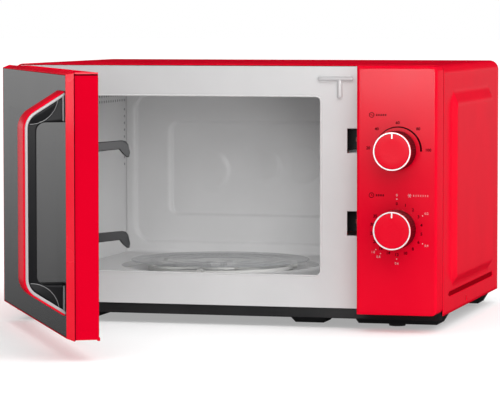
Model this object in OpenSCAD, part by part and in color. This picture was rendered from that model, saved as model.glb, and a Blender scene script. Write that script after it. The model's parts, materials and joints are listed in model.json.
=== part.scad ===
// Compact dial microwave oven, door hinged on the left, built as separate pieces.
// Millimetres. X = 0 is the middle of the case, Y = 0 the door's hinge line (front is -Y),
// Z = 0 the surface that the feet stand on.

/* [Case] */
// Width of the sheet case
case_w = 440; // [436:1:460]
// Height of the sheet case, from its lower edge to its top
case_h = 244; // [242:1:256]
// Depth of the sheet case
case_d = 300; // [298:1:330]
// Height of the case's lower edge over the worktop
foot_h = 14.5; // [13:0.5:16]
// Radius of the case's two upper edges
case_r = 9.5; // [6:0.5:14]

/* [Control panel] */
// Width of the control panel
panel_w = 79; // [76:0.5:80]
// Height of the power dial's axis
power_z = 177; // [172:1:182]
// Height of the timer dial's axis
timer_z = 101; // [96:1:106]
// Radius of a dial's front face
knob_r = 18; // [15:0.5:20]

/* [Oven cavity] */
// Width of the cavity between its side walls
cavity_w = 287.4; // [280:0.2:288]
// Radius of the glass turntable plate
plate_r = 98; // [85:1:110]

/* [Door] */
// How far the door stands open in the rest pose, in degrees
door_open = 61.4; // [0:0.2:100]
// Thickness of the door
door_t = 30; // [29:0.5:31]
// Width of the handle's bar
handle_w = 32; // [24:1:36]

/* [Hidden] */
$fn = 48;
sheet = 1.2;
eps = 0.01;

// Case planes
case_x = case_w / 2;
case_z0 = foot_h;
case_z1 = foot_h + case_h;
case_y0 = 22.5;
case_y1 = case_y0 + case_d;
plate_y = 20.5;

// Door planes, with the door closed
hinge_x = -(case_x - 10);
door_y0 = -12;
door_y1 = door_y0 + door_t;
door_x0 = -case_x;
panel_x0 = case_x - panel_w;
door_x1 = panel_x0 - 1.5;
door_z0 = case_z0 + 3.5;
door_z1 = case_z1 - 1;

// Cavity planes
cav_x1 = 97.6;
cav_x0 = cav_x1 - cavity_w;
cav_z0 = 47;
recess_z = 42;
recess_r = plate_r + 5;
cav_z1 = 230;
cav_y0 = plate_y + sheet;
cav_y1 = 304;
open_z0 = 51.3;
open_z1 = 227.4;
wall = 1;
table_x = (cav_x0 + cav_x1) / 2;
table_y = 172.5;

// Latch: slot and hook places
slot_z = [184.5, 103.5];
slot_x0 = 124.3;
slot_w = 12;
slot_h = 24;
latch_x = [111, 151];
latch_z = [82, 206];
hook_x = 129;
pawl_y = 4;
pawl_z = 144;

// Dials
knob_x = 181;
panel_y0 = door_y0;
knob_h = 24;
shaft_r = 3;
fit = 0.05;

// Lamp, fan and microwave generator
lamp_y = 102;
fan_x = 160;
fan_z = 160;
fan_y = 296;
mag_y = 222;

// Fasteners
screw_r = 1.9;
hinge_screw_x = hinge_x + 11;
hinge_screw_z = [39, 236];
rear_screws = [[-195, 230], [195, 230], [-195, 30], [100, 236], [-100, 236]];
motor_screw_dx = 32;

// Mains lead inlet, X and Z
gland = [190, 44];
gland_r = 3.6;

// ---------- shared shapes ----------

// Box from one corner to the other
module block(x0, x1, y0, y1, z0, z1) {
    translate([x0, y0, z0]) cube([x1 - x0, y1 - y0, z1 - z0]);
}

// A flat outline drawn in X and Z, made solid from y0 to y1
module along_y(y0, y1) {
    translate([0, y1, 0]) rotate([90, 0, 0]) linear_extrude(y1 - y0) children();
}

// A flat outline drawn in Y and Z, made solid from x0 to x1
module along_x(x0, x1) {
    translate([x0, 0, 0]) rotate([90, 0, 90]) linear_extrude(x1 - x0) children();
}

// A flat outline drawn in X and Y, made solid from z0 to z1
module along_z(z0, z1) {
    translate([0, 0, z0]) linear_extrude(z1 - z0) children();
}

// Points of an arc, for outlines
function arc(cx, cy, r, a0, a1, n = 6) =
    [for (i = [0 : n]) let (a = a0 + (a1 - a0) * i / n) [cx + r * cos(a), cy + r * sin(a)]];

// Outline of a rectangle with rounded corners
function round_rect(x0, x1, y0, y1, r, n = 6) = concat(
    arc(x1 - r, y0 + r, r, -90, 0, n), arc(x1 - r, y1 - r, r, 0, 90, n),
    arc(x0 + r, y1 - r, r, 90, 180, n), arc(x0 + r, y0 + r, r, 180, 270, n));

// Round bar along X, Y or Z
module rod_x(x0, x1, y, z, r) {
    translate([x0, y, z]) rotate([0, 90, 0]) cylinder(h = x1 - x0, r = r);
}
module rod_y(y0, y1, x, z, r) {
    translate([x, y0, z]) rotate([-90, 0, 0]) cylinder(h = y1 - y0, r = r);
}
module rod_z(z0, z1, x, y, r) {
    translate([x, y, z0]) cylinder(h = z1 - z0, r = r);
}

// Turns a piece of the door from closed to its rest pose
module on_door() {
    translate([hinge_x, 0, 0]) rotate([0, 0, -door_open]) translate([-hinge_x, 0, 0])
        children();
}

// Pan-head screw whose shank points along +Z from the head's seat
module screw(length) {
    translate([0, 0, -2]) cylinder(h = 2, r = 3.4);
    translate([0, 0, -eps]) cylinder(h = length, r = screw_r);
}

// ---------- case ----------

// Cross-section of the case: flat bottom edge, rounded upper edges
module case_outline(inset) {
    r = case_r - inset;
    x = case_x - inset;
    top = case_z1 - inset;
    polygon(concat([[x, case_z0]], arc(x - r, top - r, r, 0, 90, 10),
        arc(r - x, top - r, r, 90, 180, 10), [[-x, case_z0]]));
}

// Raised panel pressed out of a side of the case; shift moves it inwards
module side_emboss(shift) {
    rise = 5;
    y_out = [case_y0 + 39, case_y0 + case_d - 51];
    z_out = [case_z0 + 27.3, case_z1 - 26.9];
    y_in = [y_out[0] + 5.5, y_out[1] - 4.5];
    z_in = [z_out[0] + 7.7, z_out[1] - 12];
    base = case_x - 1 - shift;
    top = case_x + rise - shift;
    intersection() {
        along_z(z_out[0], z_out[1])
            polygon([[base, y_out[0] - 1], [top, y_in[0]], [top, y_in[1]], [base, y_out[1] + 1]]);
        translate([0, y_out[1], 0]) rotate([90, 0, 0]) linear_extrude(y_out[1] - y_out[0])
            polygon([[base, z_out[0] - 1], [top, z_in[0]], [top, z_in[1]], [base, z_out[1] + 2]]);
        along_x(base, top) polygon(round_rect(y_out[0], y_out[1], z_out[0], z_out[1], 12));
    }
}

module side_details(side) {
    groove_y = [case_y0 + 29, case_y0 + 272.5];
    groove_z = 33;
    groove_r = 2.5;
    difference() {
        union() {
            children();
            mirror([side < 0 ? 1 : 0, 0, 0]) side_emboss(0);
            mirror([side < 0 ? 1 : 0, 0, 0])
                block(case_x - 3.2, case_x - sheet / 2, groove_y[0] - 4, groove_y[1] + 4,
                    groove_z - 4, groove_z + 4);
        }
        mirror([side < 0 ? 1 : 0, 0, 0]) {
            side_emboss(sheet);
            block(case_x - 2, case_x + 1, groove_y[0] + groove_r, groove_y[1] - groove_r,
                groove_z - groove_r, groove_z + groove_r);
            rod_x(case_x - 2, case_x + 1, groove_y[0] + groove_r, groove_z, groove_r);
            rod_x(case_x - 2, case_x + 1, groove_y[1] - groove_r, groove_z, groove_r);
            block(case_x - 3, case_x + 1, 143, 144.6, 19, 24);
        }
    }
}

module outer_cabinet() color([0.86, 0.05, 0.13]) {
    side_details(1) side_details(-1) difference() {
        along_y(case_y0, case_y1) case_outline(0);
        along_y(case_y0 - 1, case_y1 + 1) difference() {
            case_outline(sheet);
            translate([-case_w, case_z0 - 1]) square([2 * case_w, 1]);
        }
        block(-case_x + sheet, case_x - sheet, case_y0 - 1, case_y1 + 1, case_z0 - 1, case_z0 + 2);
    }
}

module face_plate() color([0.8, 0.8, 0.8]) {
    x0 = -case_x + 1.7;
    z0 = case_z0 + 5.5;
    z1 = case_z1 - 1.6;
    rib_y = plate_y - 1.1;
    difference() {
        union() {
            along_y(plate_y, plate_y + sheet) intersection() {
                translate([x0, z0]) square([panel_x0 - 0.6 - x0, z1 - z0]);
                case_outline(1.6);
            }
            block(panel_x0 - 1, case_x - 4, plate_y, plate_y + sheet, z0 + 2, z1 - 3);
            block(x0, x0 + sheet, plate_y, plate_y + 10, z0, z1 - case_r);
            block(x0 + case_r, panel_x0 - 1, plate_y, plate_y + 10, z1 - sheet, z1);
            block(panel_x0 - 1, case_x - 4, plate_y + eps, plate_y + 10, z1 - 3 - sheet, z1 - 3);
            block(x0, case_x - 4, plate_y + eps, plate_y + 10, z0 + 2, z0 + 2 + sheet);
            // T-shaped stiffening rib beside the opening
            block(97.3, 128.4, rib_y, plate_y + eps, 241.7, 247.8);
            rod_y(rib_y, plate_y + eps, 97.3, 244.75, 3.05);
            rod_y(rib_y, plate_y + eps, 128.4, 244.75, 3.05);
            block(113.5, 119.7, rib_y, plate_y + eps, 227.8, 243);
            rod_y(rib_y, plate_y + eps, 116.6, 227.8, 3.1);
        }
        along_y(plate_y - 2, plate_y + 3)
            polygon(round_rect(cav_x0, cav_x1, open_z0, open_z1, 5));
        block(latch_x[0], latch_x[1], plate_y - 2, plate_y + 3, latch_z[0], latch_z[1]);
        block(latch_x[1], case_x - 9, plate_y - 2, plate_y + 3, 66, 212);
        for (z = hinge_screw_z)
            rod_y(plate_y - 2, plate_y + 3, hinge_screw_x, z, screw_r);
    }
}

// Reinforced piece of the face plate, flush with it, that the latch hooks pass through
module latch_plate() color([0.8, 0.8, 0.8]) {
    difference() {
        block(latch_x[0], latch_x[1], plate_y, plate_y + sheet, latch_z[0], latch_z[1]);
        for (z = slot_z)
            block(slot_x0, slot_x0 + slot_w, plate_y - 1, plate_y + 3, z - slot_h / 2, z + slot_h / 2);
    }
}

// ---------- cavity ----------

module cavity_wrapper() color([0.78, 0.78, 0.78]) {
    z_roof = cav_z1 + wall;
    difference() {
        block(cav_x0 - wall, cav_x1 + wall, cav_y0 + 0.1, cav_y1, cav_z0 - wall, z_roof);
        block(cav_x0, cav_x1, cav_y0 - 1, cav_y1 + 1, cav_z0 - 2, cav_z1);
        // steam outlet holes, high on the left wall and down its rear edge
        for (i = [0 : 15], row = [0 : 1])
            rod_x(cav_x0 - 2, cav_x0 + 1, 178 + 8 * i, 214 + 6 * row, 1.6);
        for (i = [0 : 8])
            rod_x(cav_x0 - 2, cav_x0 + 1, 298, 144 + 7.5 * i, 1.6);
        // microwave inlet from the waveguide
        block(cav_x1 - 1, cav_x1 + 2, 130, 190, 178, 212);
        // lamp holes
        for (i = [0 : 4], j = [0 : 2])
            rod_x(cav_x1 - 1, cav_x1 + 2, lamp_y - 12 + 6 * i, 190 + 6 * j, 1.6);
    }
}

module cavity_floor() color([0.76, 0.76, 0.76]) {
    x0 = cav_x0 + 0.05;
    x1 = cav_x1 - 0.05;
    bend = 4;
    difference() {
        union() {
            block(x0, x1, cav_y0 + 0.1, cav_y1 - 0.05, cav_z0 - wall, cav_z0);
            // low lip behind the face plate
            block(x0, x1, cav_y0 + 0.1, cav_y0 + 1.1, cav_z0 - wall, open_z0 - 0.4);
            // rounded bend where the floor meets the back
            along_x(x0, x1) polygon(concat([[cav_y1 - 0.05, cav_z0 - wall]],
                [[cav_y1 - 0.05, cav_z0 + bend]],
                arc(cav_y1 - 0.05 - bend, cav_z0 + bend, bend, 0, -90, 6)));
            // underside of the recess
            rod_z(recess_z - wall, cav_z0 - wall + eps, table_x, table_y, recess_r + wall);
        }
        // round recess that the roller ring runs in
        rod_z(recess_z, cav_z0 + 1, table_x, table_y, recess_r);
        rod_z(recess_z - 2, cav_z0 + 1, table_x, table_y, 7);
    }
}

module cavity_back() color([0.78, 0.78, 0.78]) {
    z0 = cav_z0 - wall;
    z1 = cav_z1 + wall;
    x0 = cav_x0 - wall;
    x1 = cav_x1 + wall;
    outer = [table_x - 133.5, table_x + 133.5, 58, 222];
    inner = [table_x - 94, table_x + 94, 88, 192];
    step = 3;
    bumps = [[-95, 137, 22], [-32, 142, 17], [8, 146, 22]];
    difference() {
        union() {
            block(x0, x1, cav_y1, cav_y1 + wall, z0, z1);
            along_y(cav_y1, cav_y1 + step + wall)
                polygon(round_rect(outer[0] - 1, outer[1] + 1, outer[2] - 1, outer[3] + 1, 18));
            along_y(cav_y1 + step, cav_y1 + 2 * step + wall)
                polygon(round_rect(inner[0] - 1, inner[1] + 1, inner[2] - 1, inner[3] + 1, 10));
        }
        along_y(cav_y1 - 1, cav_y1 + step)
            polygon(round_rect(outer[0], outer[1], outer[2], outer[3], 17));
        along_y(cav_y1 + step - 1, cav_y1 + 2 * step)
            polygon(round_rect(inner[0], inner[1], inner[2], inner[3], 9));
    }
    for (b = bumps)
        translate([b[0], cav_y1 + 2 * step + eps, b[1]]) rotate([90, 0, 0])
            cylinder(h = 3, r1 = b[2], r2 = b[2] - 5);
}

// ---------- base, back and feet ----------

// Pressed pad of the base plate that a foot stands under
module foot_pad(x0, x1, y0, y1, z_low, flare) {
    z_top = case_z0 + 1.2;
    intersection() {
        along_y(y0, y1) polygon([[x0, z_top], [x1, z_top], [x1 - flare, z_low], [x0 + flare, z_low]]);
        along_x(x0, x1) polygon([[y0, z_top], [y1, z_top], [y1 - flare, z_low], [y0 + flare, z_low]]);
    }
}

feet_x = [-178, 166];
feet_y = [62.5, 285];

module base_plate() color([0.1, 0.1, 0.1]) {
    x = case_x - 2.2;
    rib_y0 = plate_y + 1.7;
    difference() {
        union() {
            block(-x, x, rib_y0, case_y1 - 1.6, case_z0 + eps, case_z0 + sheet);
            // front stiffening rib, the dark band under the face plate
            block(-x, x, rib_y0, rib_y0 + 9.6, 9.7, case_z0 + 5.2);
            foot_pad(-x, -132, 40, 90, 3, 7);
            foot_pad(-x, -132, 262, 308, 3, 7);
            foot_pad(123, 216, 40, 90, 3, 7);
            foot_pad(123, 216, 262, 308, 3, 7);
            foot_pad(55, 104, 40, 90, 2, 10);
        }
        block(-x + sheet, x - sheet, rib_y0 + sheet, rib_y0 + 8.4, 10.9, case_z0 + 6);
        // air slots under the electronics bay
        for (i = [0 : 7], j = [0 : 1])
            block(112 + 11 * i, 116 + 11 * i, 120 + 60 * j, 160 + 60 * j, case_z0 - 1, case_z0 + 3);
        for (fx = feet_x, fy = feet_y)
            rod_z(1, case_z0 + 3, fx, fy, 2.5);
    }
}

module rubber_feet() color([0.07, 0.07, 0.07]) {
    for (fx = feet_x, fy = feet_y) {
        translate([fx, fy, 0]) cylinder(h = 3, r1 = 8, r2 = 9);
        rod_z(3 - eps, case_z0 - 0.5, fx, fy, 2.45);
    }
}

module rear_cover() color([0.16, 0.16, 0.17]) {
    y0 = case_y1 - 1.5;
    difference() {
        union() {
            along_y(y0, y0 + sheet) intersection() {
                case_outline(sheet + 0.3);
                translate([-case_w, case_z0 + 1.5]) square([2 * case_w, case_h]);
            }
            block(-case_x + 8, case_x - 8, y0 - 8, y0 + eps, case_z0 + 1.5, case_z0 + 2.5);
            // spacer box that stands the appliance off a wall
            difference() {
                block(-70, -10, y0, y0 + 6, 200, 226);
                block(-68, -12, y0 - 1, y0 + 4.5, 202, 224);
            }
        }
        // fan inlet louvres
        for (i = [0 : 11])
            block(fan_x - 42, fan_x + 42, y0 - 1, y0 + 2, 106 + 9 * i, 110 + 9 * i);
        // cavity outlet slots
        for (i = [0 : 7])
            block(-205, -197, y0 - 1, y0 + 2, 70 + 18 * i, 82 + 18 * i);
        rod_y(y0 - 1, y0 + 2, gland[0], gland[1], 7);
        for (p = rear_screws)
            rod_y(y0 - 1, y0 + 2, p[0], p[1], screw_r + fit);
    }
}

// ---------- control panel ----------

// Front outline: square beside the door, rounded at the case's side
function panel_outline(x0, x1, z0, z1, r) = concat([[x0, z1], [x0, z0]],
    arc(x1 - r, z0 + r, r, -90, 0), arc(x1 - r, z1 - r, r, 0, 90));

module control_panel() color([0.9, 0.06, 0.14]) {
    x0 = panel_x0;
    x1 = case_x;
    z0 = case_z0 + 3;
    z1 = case_z1 - 0.5;
    t = 2;
    difference() {
        along_y(panel_y0, case_y0 - 0.4) polygon(panel_outline(x0, x1, z0, z1, 5));
        along_y(panel_y0 + 2.5, case_y0 + 1)
            polygon(panel_outline(x0 + t, x1 - t, z0 + t, z1 - t, 3));
        // room for the face plate behind the inner wall
        block(x0 - 1, x0 + t + 1, plate_y - 0.4, case_y0, z0 - 1, z1 + 1);
        for (z = [power_z, timer_z])
            rod_y(panel_y0 - 1, panel_y0 + 4, knob_x, z, 4.6);
    }
    // bosses that the panel is screwed to the face plate by
    for (z = [48, 228])
        difference() {
            rod_y(panel_y0 + 2, plate_y - 0.1, 152, z, 4);
            rod_y(panel_y0 + 6, plate_y + 1, 152, z, 1.6);
        }
}

// Dial: a tapered skirt with a ribbed grip and a dished front
module dial(z) {
    y_face = panel_y0 - knob_h;
    gap = 0.6;
    difference() {
        union() {
            translate([knob_x, panel_y0 - gap, z]) rotate([90, 0, 0])
                cylinder(h = knob_h - gap, r1 = knob_r + 0.8, r2 = knob_r);
            for (a = [0 : 15 : 345])
                translate([knob_x, panel_y0 - gap, z]) rotate([90, 0, 0]) rotate([0, 0, a])
                    translate([knob_r + 0.3, 0, 3]) cylinder(h = knob_h - 8, r = 0.7);
        }
        // seat of the bright ring, and the shaft's socket
        rod_y(y_face - 1, y_face + 1.5, knob_x, z, knob_r - 0.7);
        rod_y(panel_y0 - 14, panel_y0 + 1, knob_x, z, shaft_r);
    }
    // face disc and pointer ridge inside the ring
    rod_y(y_face + 0.3, y_face + 1.6, knob_x, z, knob_r - 2.9);
}

module dial_ring(z) {
    y_face = panel_y0 - knob_h;
    difference() {
        rod_y(y_face - 0.2, y_face + 1.4, knob_x, z, knob_r - 0.8);
        rod_y(y_face - 1, y_face + 2, knob_x, z, knob_r - 2.8);
    }
    block(knob_x - 0.9, knob_x + 0.9, y_face - 0.2, y_face + 0.28, z + knob_r - 8, z + knob_r - 2);
}

module timer_knob() color([0.62, 0.04, 0.1]) dial(timer_z);
module power_knob() color([0.62, 0.04, 0.1]) dial(power_z);
module timer_knob_ring() color([0.9, 0.9, 0.9]) dial_ring(timer_z);
module power_knob_ring() color([0.9, 0.9, 0.9]) dial_ring(power_z);

module dial_shaft(z, y_end) {
    rod_y(panel_y0 - 14, y_end, knob_x, z, shaft_r);
}
module timer_shaft() color([0.75, 0.75, 0.76]) dial_shaft(timer_z, 34);
module power_shaft() color([0.75, 0.75, 0.76]) dial_shaft(power_z, 34);

// Clockwork or switch box behind a dial, with the shaft's bearing bore
module dial_unit(z, size, y_back) {
    difference() {
        union() {
            block(knob_x - size[0] / 2, knob_x + size[0] / 2, 0, y_back,
                z - size[1] / 2, z + size[1] / 2);
            rod_y(panel_y0 + 2.6, eps, knob_x, z, 4.4);
        }
        rod_y(panel_y0 + 1, 34.5, knob_x, z, shaft_r + fit);
    }
}

module timer_unit() color([0.82, 0.8, 0.72]) {
    dial_unit(timer_z, [52, 58], 46);
    rod_y(46 - eps, 54, knob_x + 6, timer_z - 8, 9);
    for (dx = [-18, -10, 10, 18])
        block(knob_x + dx - 0.4, knob_x + dx + 0.4, 46 - eps, 53, timer_z + 16, timer_z + 22);
}

module power_selector() color([0.82, 0.8, 0.72]) {
    dial_unit(power_z, [40, 44], 42);
    for (dx = [-12, 0, 12])
        block(knob_x + dx - 0.4, knob_x + dx + 0.4, 42 - eps, 49, power_z - 18, power_z - 12);
}

// ---------- door interlock behind the slots ----------

switch_y0 = 49.7;

module interlock_bracket() color([0.9, 0.9, 0.87]) {
    x0 = 112;
    x1 = 146;
    difference() {
        block(x0, x1, plate_y + sheet + 0.1, plate_y + sheet + 3, 78, 212);
        for (z = slot_z)
            block(slot_x0 - 1, slot_x0 + slot_w + 1, plate_y, plate_y + 6, z - 14, z + 14);
    }
    // side cheek that the switches are clipped to, joined by three webs
    block(x0, x0 + 2.4, plate_y + sheet + 3 - eps, 74, 78, 212);
    for (z = [78, 143.5, 209])
        block(x0, x1, plate_y + sheet + 3 - eps, 49, z, z + 3);
}

module door_switches() color([0.2, 0.2, 0.22]) {
    for (z = [slot_z[0], slot_z[1], 143])
        difference() {
            block(114.5, 134.6, switch_y0, switch_y0 + 16, z - 10 + (z == 143 ? 9 : 0),
                z + (z == 143 ? 14 : 10));
            if (z != 143)
                block(126.9, 131.1, switch_y0 - 1, switch_y0 + 5, z - 2.1, z + 2.1);
        }
}

module switch_button(z) {
    block(127, 131, switch_y0 - 2.2, switch_y0 + 2.4, z - 2, z + 2);
}
module upper_switch_button() color([0.75, 0.1, 0.1]) switch_button(slot_z[0]);
module lower_switch_button() color([0.75, 0.1, 0.1]) switch_button(slot_z[1]);

// ---------- microwave generator and power parts ----------

module waveguide() color([0.72, 0.72, 0.73]) {
    x0 = cav_x1 + wall;
    x1 = x0 + 33;
    difference() {
        block(x0, x1, 122, 250, 160, 220);
        block(x0 - 1, x1 - 1, 123, 249, 161, 219);
        rod_x(x1 - 2, x1 + 1, mag_y, 190, 12);
    }
}

module waveguide_cover() color([0.72, 0.66, 0.55]) {
    block(cav_x1 - 0.6, cav_x1 - 0.05, 124, 196, 173, 217);
}

module magnetron() color([0.6, 0.6, 0.62]) {
    x0 = cav_x1 + wall + 33.1;
    yc = mag_y;
    // yoke: a steel frame open front and back so that air crosses the fins
    difference() {
        block(x0, x0 + 52, yc - 40, yc + 40, 162, 218);
        block(x0 + 2, x0 + 50, yc - 41, yc + 41, 164, 216);
    }
    rod_x(x0 - 15, x0 + eps, yc, 190, 8);
    rod_x(x0 - 26, x0 - 15 + eps, yc, 190, 6);
    // filter box on the far side
    block(x0 + 52 - eps, x0 + 74, yc - 22, yc + 22, 168, 212);
}

module magnetron_fins() color([0.78, 0.78, 0.8]) {
    x0 = cav_x1 + wall + 33.1;
    yc = mag_y;
    rod_x(x0 + 2.1, x0 + 49.9, yc, 190, 18);
    for (i = [0 : 6])
        block(x0 + 10 + 4.6 * i, x0 + 10.8 + 4.6 * i, yc - 38, yc + 38, 164.2, 215.8);
}

trafo = [106, 200, 78, 150];

module transformer_core() color([0.35, 0.35, 0.37]) {
    difference() {
        block(trafo[0] + 12, trafo[1] - 12, trafo[2], trafo[3], case_z0 + 1.4, 84);
        for (z = [28, 54])
            block(trafo[0] + 11, trafo[1] - 11, trafo[2] + 14, trafo[3] - 14, z, z + 18);
    }
    for (y = [trafo[2] - 8, trafo[3] - eps])
        block(trafo[0] + 14, trafo[1] - 14, y, y + 8 + eps, case_z0 + 1.4, case_z0 + 3.4);
}

module transformer_coils() color([0.72, 0.38, 0.16]) {
    for (z = [28.4, 54.4])
        block(trafo[0], trafo[1], trafo[2] + 14.4, trafo[3] - 14.4, z, z + 17.2);
}

module high_voltage_capacitor() color([0.75, 0.76, 0.78]) {
    z0 = case_z0 + 1.4;
    along_y(205, 262) polygon(round_rect(112, 164, z0 + 1, z0 + 33, 15.9, 10));
    for (x = [128, 148])
        block(x - 3, x + 3, 198, 205 + eps, z0 + 14, z0 + 14.8);
    block(118, 158, 225, 240, z0, z0 + 1.2);
}

module high_voltage_diode() color([0.1, 0.1, 0.11]) {
    rod_y(206, 226, 176, 24, 3.2);
    rod_y(200, 206 + eps, 176, 24, 0.6);
    rod_y(226 - eps, 234, 176, 24, 0.6);
    block(170, 182, 232, 240, case_z0 + 1.3, 26);
}

module filter_board() color([0.2, 0.42, 0.24]) {
    block(110, 150, 307, 308.6, 24, 92);
    for (x = [114, 146], z = [29, 87])
        rod_y(308.5, case_y1 - 1.6, x, z, 3);
}

module filter_parts() color([0.85, 0.8, 0.6]) {
    difference() {
        rod_y(292, 306.9, 130, 74, 12);
        rod_y(291, 307.5, 130, 74, 5);
    }
    block(116, 144, 296, 306.9, 44, 56);
    rod_x(116, 142, 301, 34, 3);
    for (x = [118, 138])
        block(x - 1.5, x + 1.5, 300, 306.9, 30.5, 33);
}

module fan_shroud() color([0.22, 0.22, 0.24]) {
    y0 = 308;
    difference() {
        union() {
            block(104, 214, y0, y0 + 2, 98, 218);
            // short duct round the blade
            rod_y(fan_y - 10, y0 + eps, fan_x, fan_z, 49);
        }
        rod_y(fan_y - 11, y0 + 4, fan_x, fan_z, 46.5);
    }
    // three arms that carry the motor in front of the blade
    for (a = [90, 210, 330])
        translate([fan_x, 0, fan_z]) rotate([0, -a, 0])
            block(15, 48, fan_y - 13, fan_y - 9, -3, 3);
    difference() {
        rod_y(fan_y - 13, fan_y - 9, fan_x, fan_z, 18);
        rod_y(fan_y - 14, fan_y - 8, fan_x, fan_z, 8);
    }
}

module fan_motor() color([0.5, 0.5, 0.52]) {
    difference() {
        union() {
            block(fan_x - 24, fan_x + 24, fan_y - 30, fan_y - 14, fan_z - 20, fan_z + 20);
            rod_y(fan_y - 34, fan_y - 10, fan_x, fan_z, 7.5);
        }
        rod_y(fan_y - 32, fan_y - 9, fan_x, fan_z, 1.55);
    }
    for (dx = [-18, 18])
        rod_y(fan_y - 14 - eps, fan_y - 13, fan_x + dx * 0.7, fan_z, 3);
}

module fan_blade() color([0.15, 0.15, 0.16]) {
    blade_pitch = 32;
    rod_y(fan_y - 31, fan_y - 4, fan_x, fan_z, 1.5);
    rod_y(fan_y - 7, fan_y + 7, fan_x, fan_z, 12);
    for (a = [0 : 60 : 300])
        translate([fan_x, fan_y, fan_z]) rotate([0, a, 0]) translate([10, 0, 0])
            rotate([blade_pitch, 0, 0])
                intersection() {
                    translate([0, -0.8, -14]) cube([34, 1.6, 28]);
                    rotate([90, 0, 0]) translate([-10, 0, -3]) cylinder(h = 6, r = 42);
                }
}

module lamp_socket() color([0.9, 0.9, 0.88]) {
    x0 = cav_x1 + wall;
    difference() {
        block(x0 + 0.1, x0 + 34, lamp_y - 18, lamp_y + 18, 182, 210);
        block(x0 - 1, x0 + 27, lamp_y - 16, lamp_y + 16, 184, 208);
    }
}

module lamp_bulb() color([0.95, 0.9, 0.7, 0.6]) {
    // one lathed outline: the round bulb, then its cap
    translate([cav_x1 + wall + 14, lamp_y, 196]) rotate([0, 90, 0]) rotate_extrude()
        polygon(concat([[0, -10]], arc(0, 0, 10, -80, 50, 10), [[6.4, 13], [0, 13]]));
}

module cable_gland() color([0.08, 0.08, 0.08]) {
    y0 = case_y1 - 1.5;
    difference() {
        union() {
            rod_y(y0 - 6, y0 + 5, gland[0], gland[1], 6.9);
            rod_y(y0 + sheet + 0.05, y0 + 4, gland[0], gland[1], 10);
            rod_y(y0 - 3, y0 - 0.1, gland[0], gland[1], 10);
        }
        rod_y(y0 - 8, y0 + 8, gland[0], gland[1], gland_r);
    }
}

// ---------- turntable ----------

module turntable_motor() color([0.75, 0.76, 0.78]) {
    difference() {
        rod_z(19, 37, table_x, table_y, 24.5);
        rod_z(36, 38, table_x, table_y, shaft_r + fit);
    }
    // two ears on spacers, screwed up into the floor
    for (s = [-1, 1])
        difference() {
            union() {
                block(table_x + s * 30 - 8, table_x + s * 30 + 8, table_y - 6, table_y + 6,
                    36, 37);
                rod_z(37 - eps, recess_z - wall - 0.05, table_x + s * motor_screw_dx, table_y, 3.4);
            }
            rod_z(35, 43, table_x + s * motor_screw_dx, table_y, screw_r + fit);
        }
}

module drive_coupling() color([0.92, 0.92, 0.9]) {
    rod_z(36.4, 43, table_x, table_y, shaft_r);
    rod_z(42.2, 47.3, table_x, table_y, 6.6);
    for (a = [0, 120, 240])
        translate([table_x, table_y, 45.4]) rotate([0, 0, a])
            translate([0, -3, 0]) cube([17, 6, 3.9]);
}

module glass_turntable() color([0.55, 0.58, 0.6, 0.5]) {
    z0 = recess_z + 2;
    translate([table_x, table_y, z0]) rotate_extrude($fn = 96)
        polygon([[0, 5.4], [plate_r - 12, 5.4], [plate_r - 8, 5.5], [plate_r - 2, 7.0],
            [plate_r, 7.4], [plate_r, 8.6], [plate_r - 1, 9.6], [plate_r - 3, 9.6],
            [plate_r - 9, 8.4], [plate_r - 12, 8.2], [0, 8.2]]);
    // short lugs under the glass, between the coupling's arms
    for (a = [0, 120, 240])
        translate([table_x, table_y, z0]) rotate([0, 0, a + 60])
            translate([9, -3.2, 2.6]) cube([6, 6.4, 2.9]);
}

ring_r = 80;
wheel_r = 3.6;
axle_z = recess_z + 0.05 + wheel_r;

wheel_angles = [30, 150, 270];

module roller_ring() color([0.88, 0.88, 0.86])
    translate([table_x, table_y, 0]) {
        rotate_extrude($fn = 96)
            translate([ring_r - 8, axle_z - 2]) square([4, 3.2]);
        // loose hub round the drive, joined to the ring by three spokes
        rotate_extrude($fn = 64)
            translate([20, axle_z - 2]) square([3, 2]);
        for (a = wheel_angles) {
            rotate([0, 0, a + 60])
                translate([22.5, -2.5, axle_z - 2]) cube([ring_r - 30, 5, 2]);
            rotate([0, 0, a]) translate([ring_r - 4.1, 0, axle_z]) rotate([0, 90, 0])
                cylinder(h = 8, r = 1);
        }
    }

module roller_wheel(a) {
    translate([table_x, table_y, axle_z]) rotate([0, 0, a])
        translate([ring_r - 3.4, 0, 0]) rotate([0, 90, 0]) difference() {
            cylinder(h = 6, r = wheel_r);
            translate([0, 0, -1]) cylinder(h = 8, r = 1 + fit);
        }
}
module roller_wheel_1() color([0.93, 0.93, 0.9]) roller_wheel(30);
module roller_wheel_2() color([0.93, 0.93, 0.9]) roller_wheel(150);
module roller_wheel_3() color([0.93, 0.93, 0.9]) roller_wheel(270);

// ---------- door ----------

tab_z = [32, 243];
tab_t = 2;
pin_r = 3;

module hinge_brackets() color([0.7, 0.7, 0.71]) {
    half_w = 5.5;
    y_seat = plate_y - 0.05;
    leaf = 1.85;
    for (i = [0, 1]) {
        z = tab_z[i];
        leaf_z = i == 0 ? [z - 1, z + 14] : [z - 14, z + 1];
        difference() {
            union() {
                block(hinge_x - half_w, hinge_x + half_w, 0, y_seat, z - tab_t / 2, z + tab_t / 2);
                rod_z(z - tab_t / 2, z + tab_t / 2, hinge_x, 0, half_w);
                block(hinge_x - half_w, hinge_x + 16, y_seat - leaf, y_seat, leaf_z[0], leaf_z[1]);
            }
            rod_z(z - 3, z + 3, hinge_x, 0, pin_r + fit);
            translate([hinge_screw_x, plate_y - 1.9, hinge_screw_z[i]]) rotate([-90, 0, 0]) {
                cylinder(h = 1.4, r1 = 3.25, r2 = screw_r + fit);
                cylinder(h = 4, r = screw_r + fit);
            }
        }
    }
}

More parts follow.
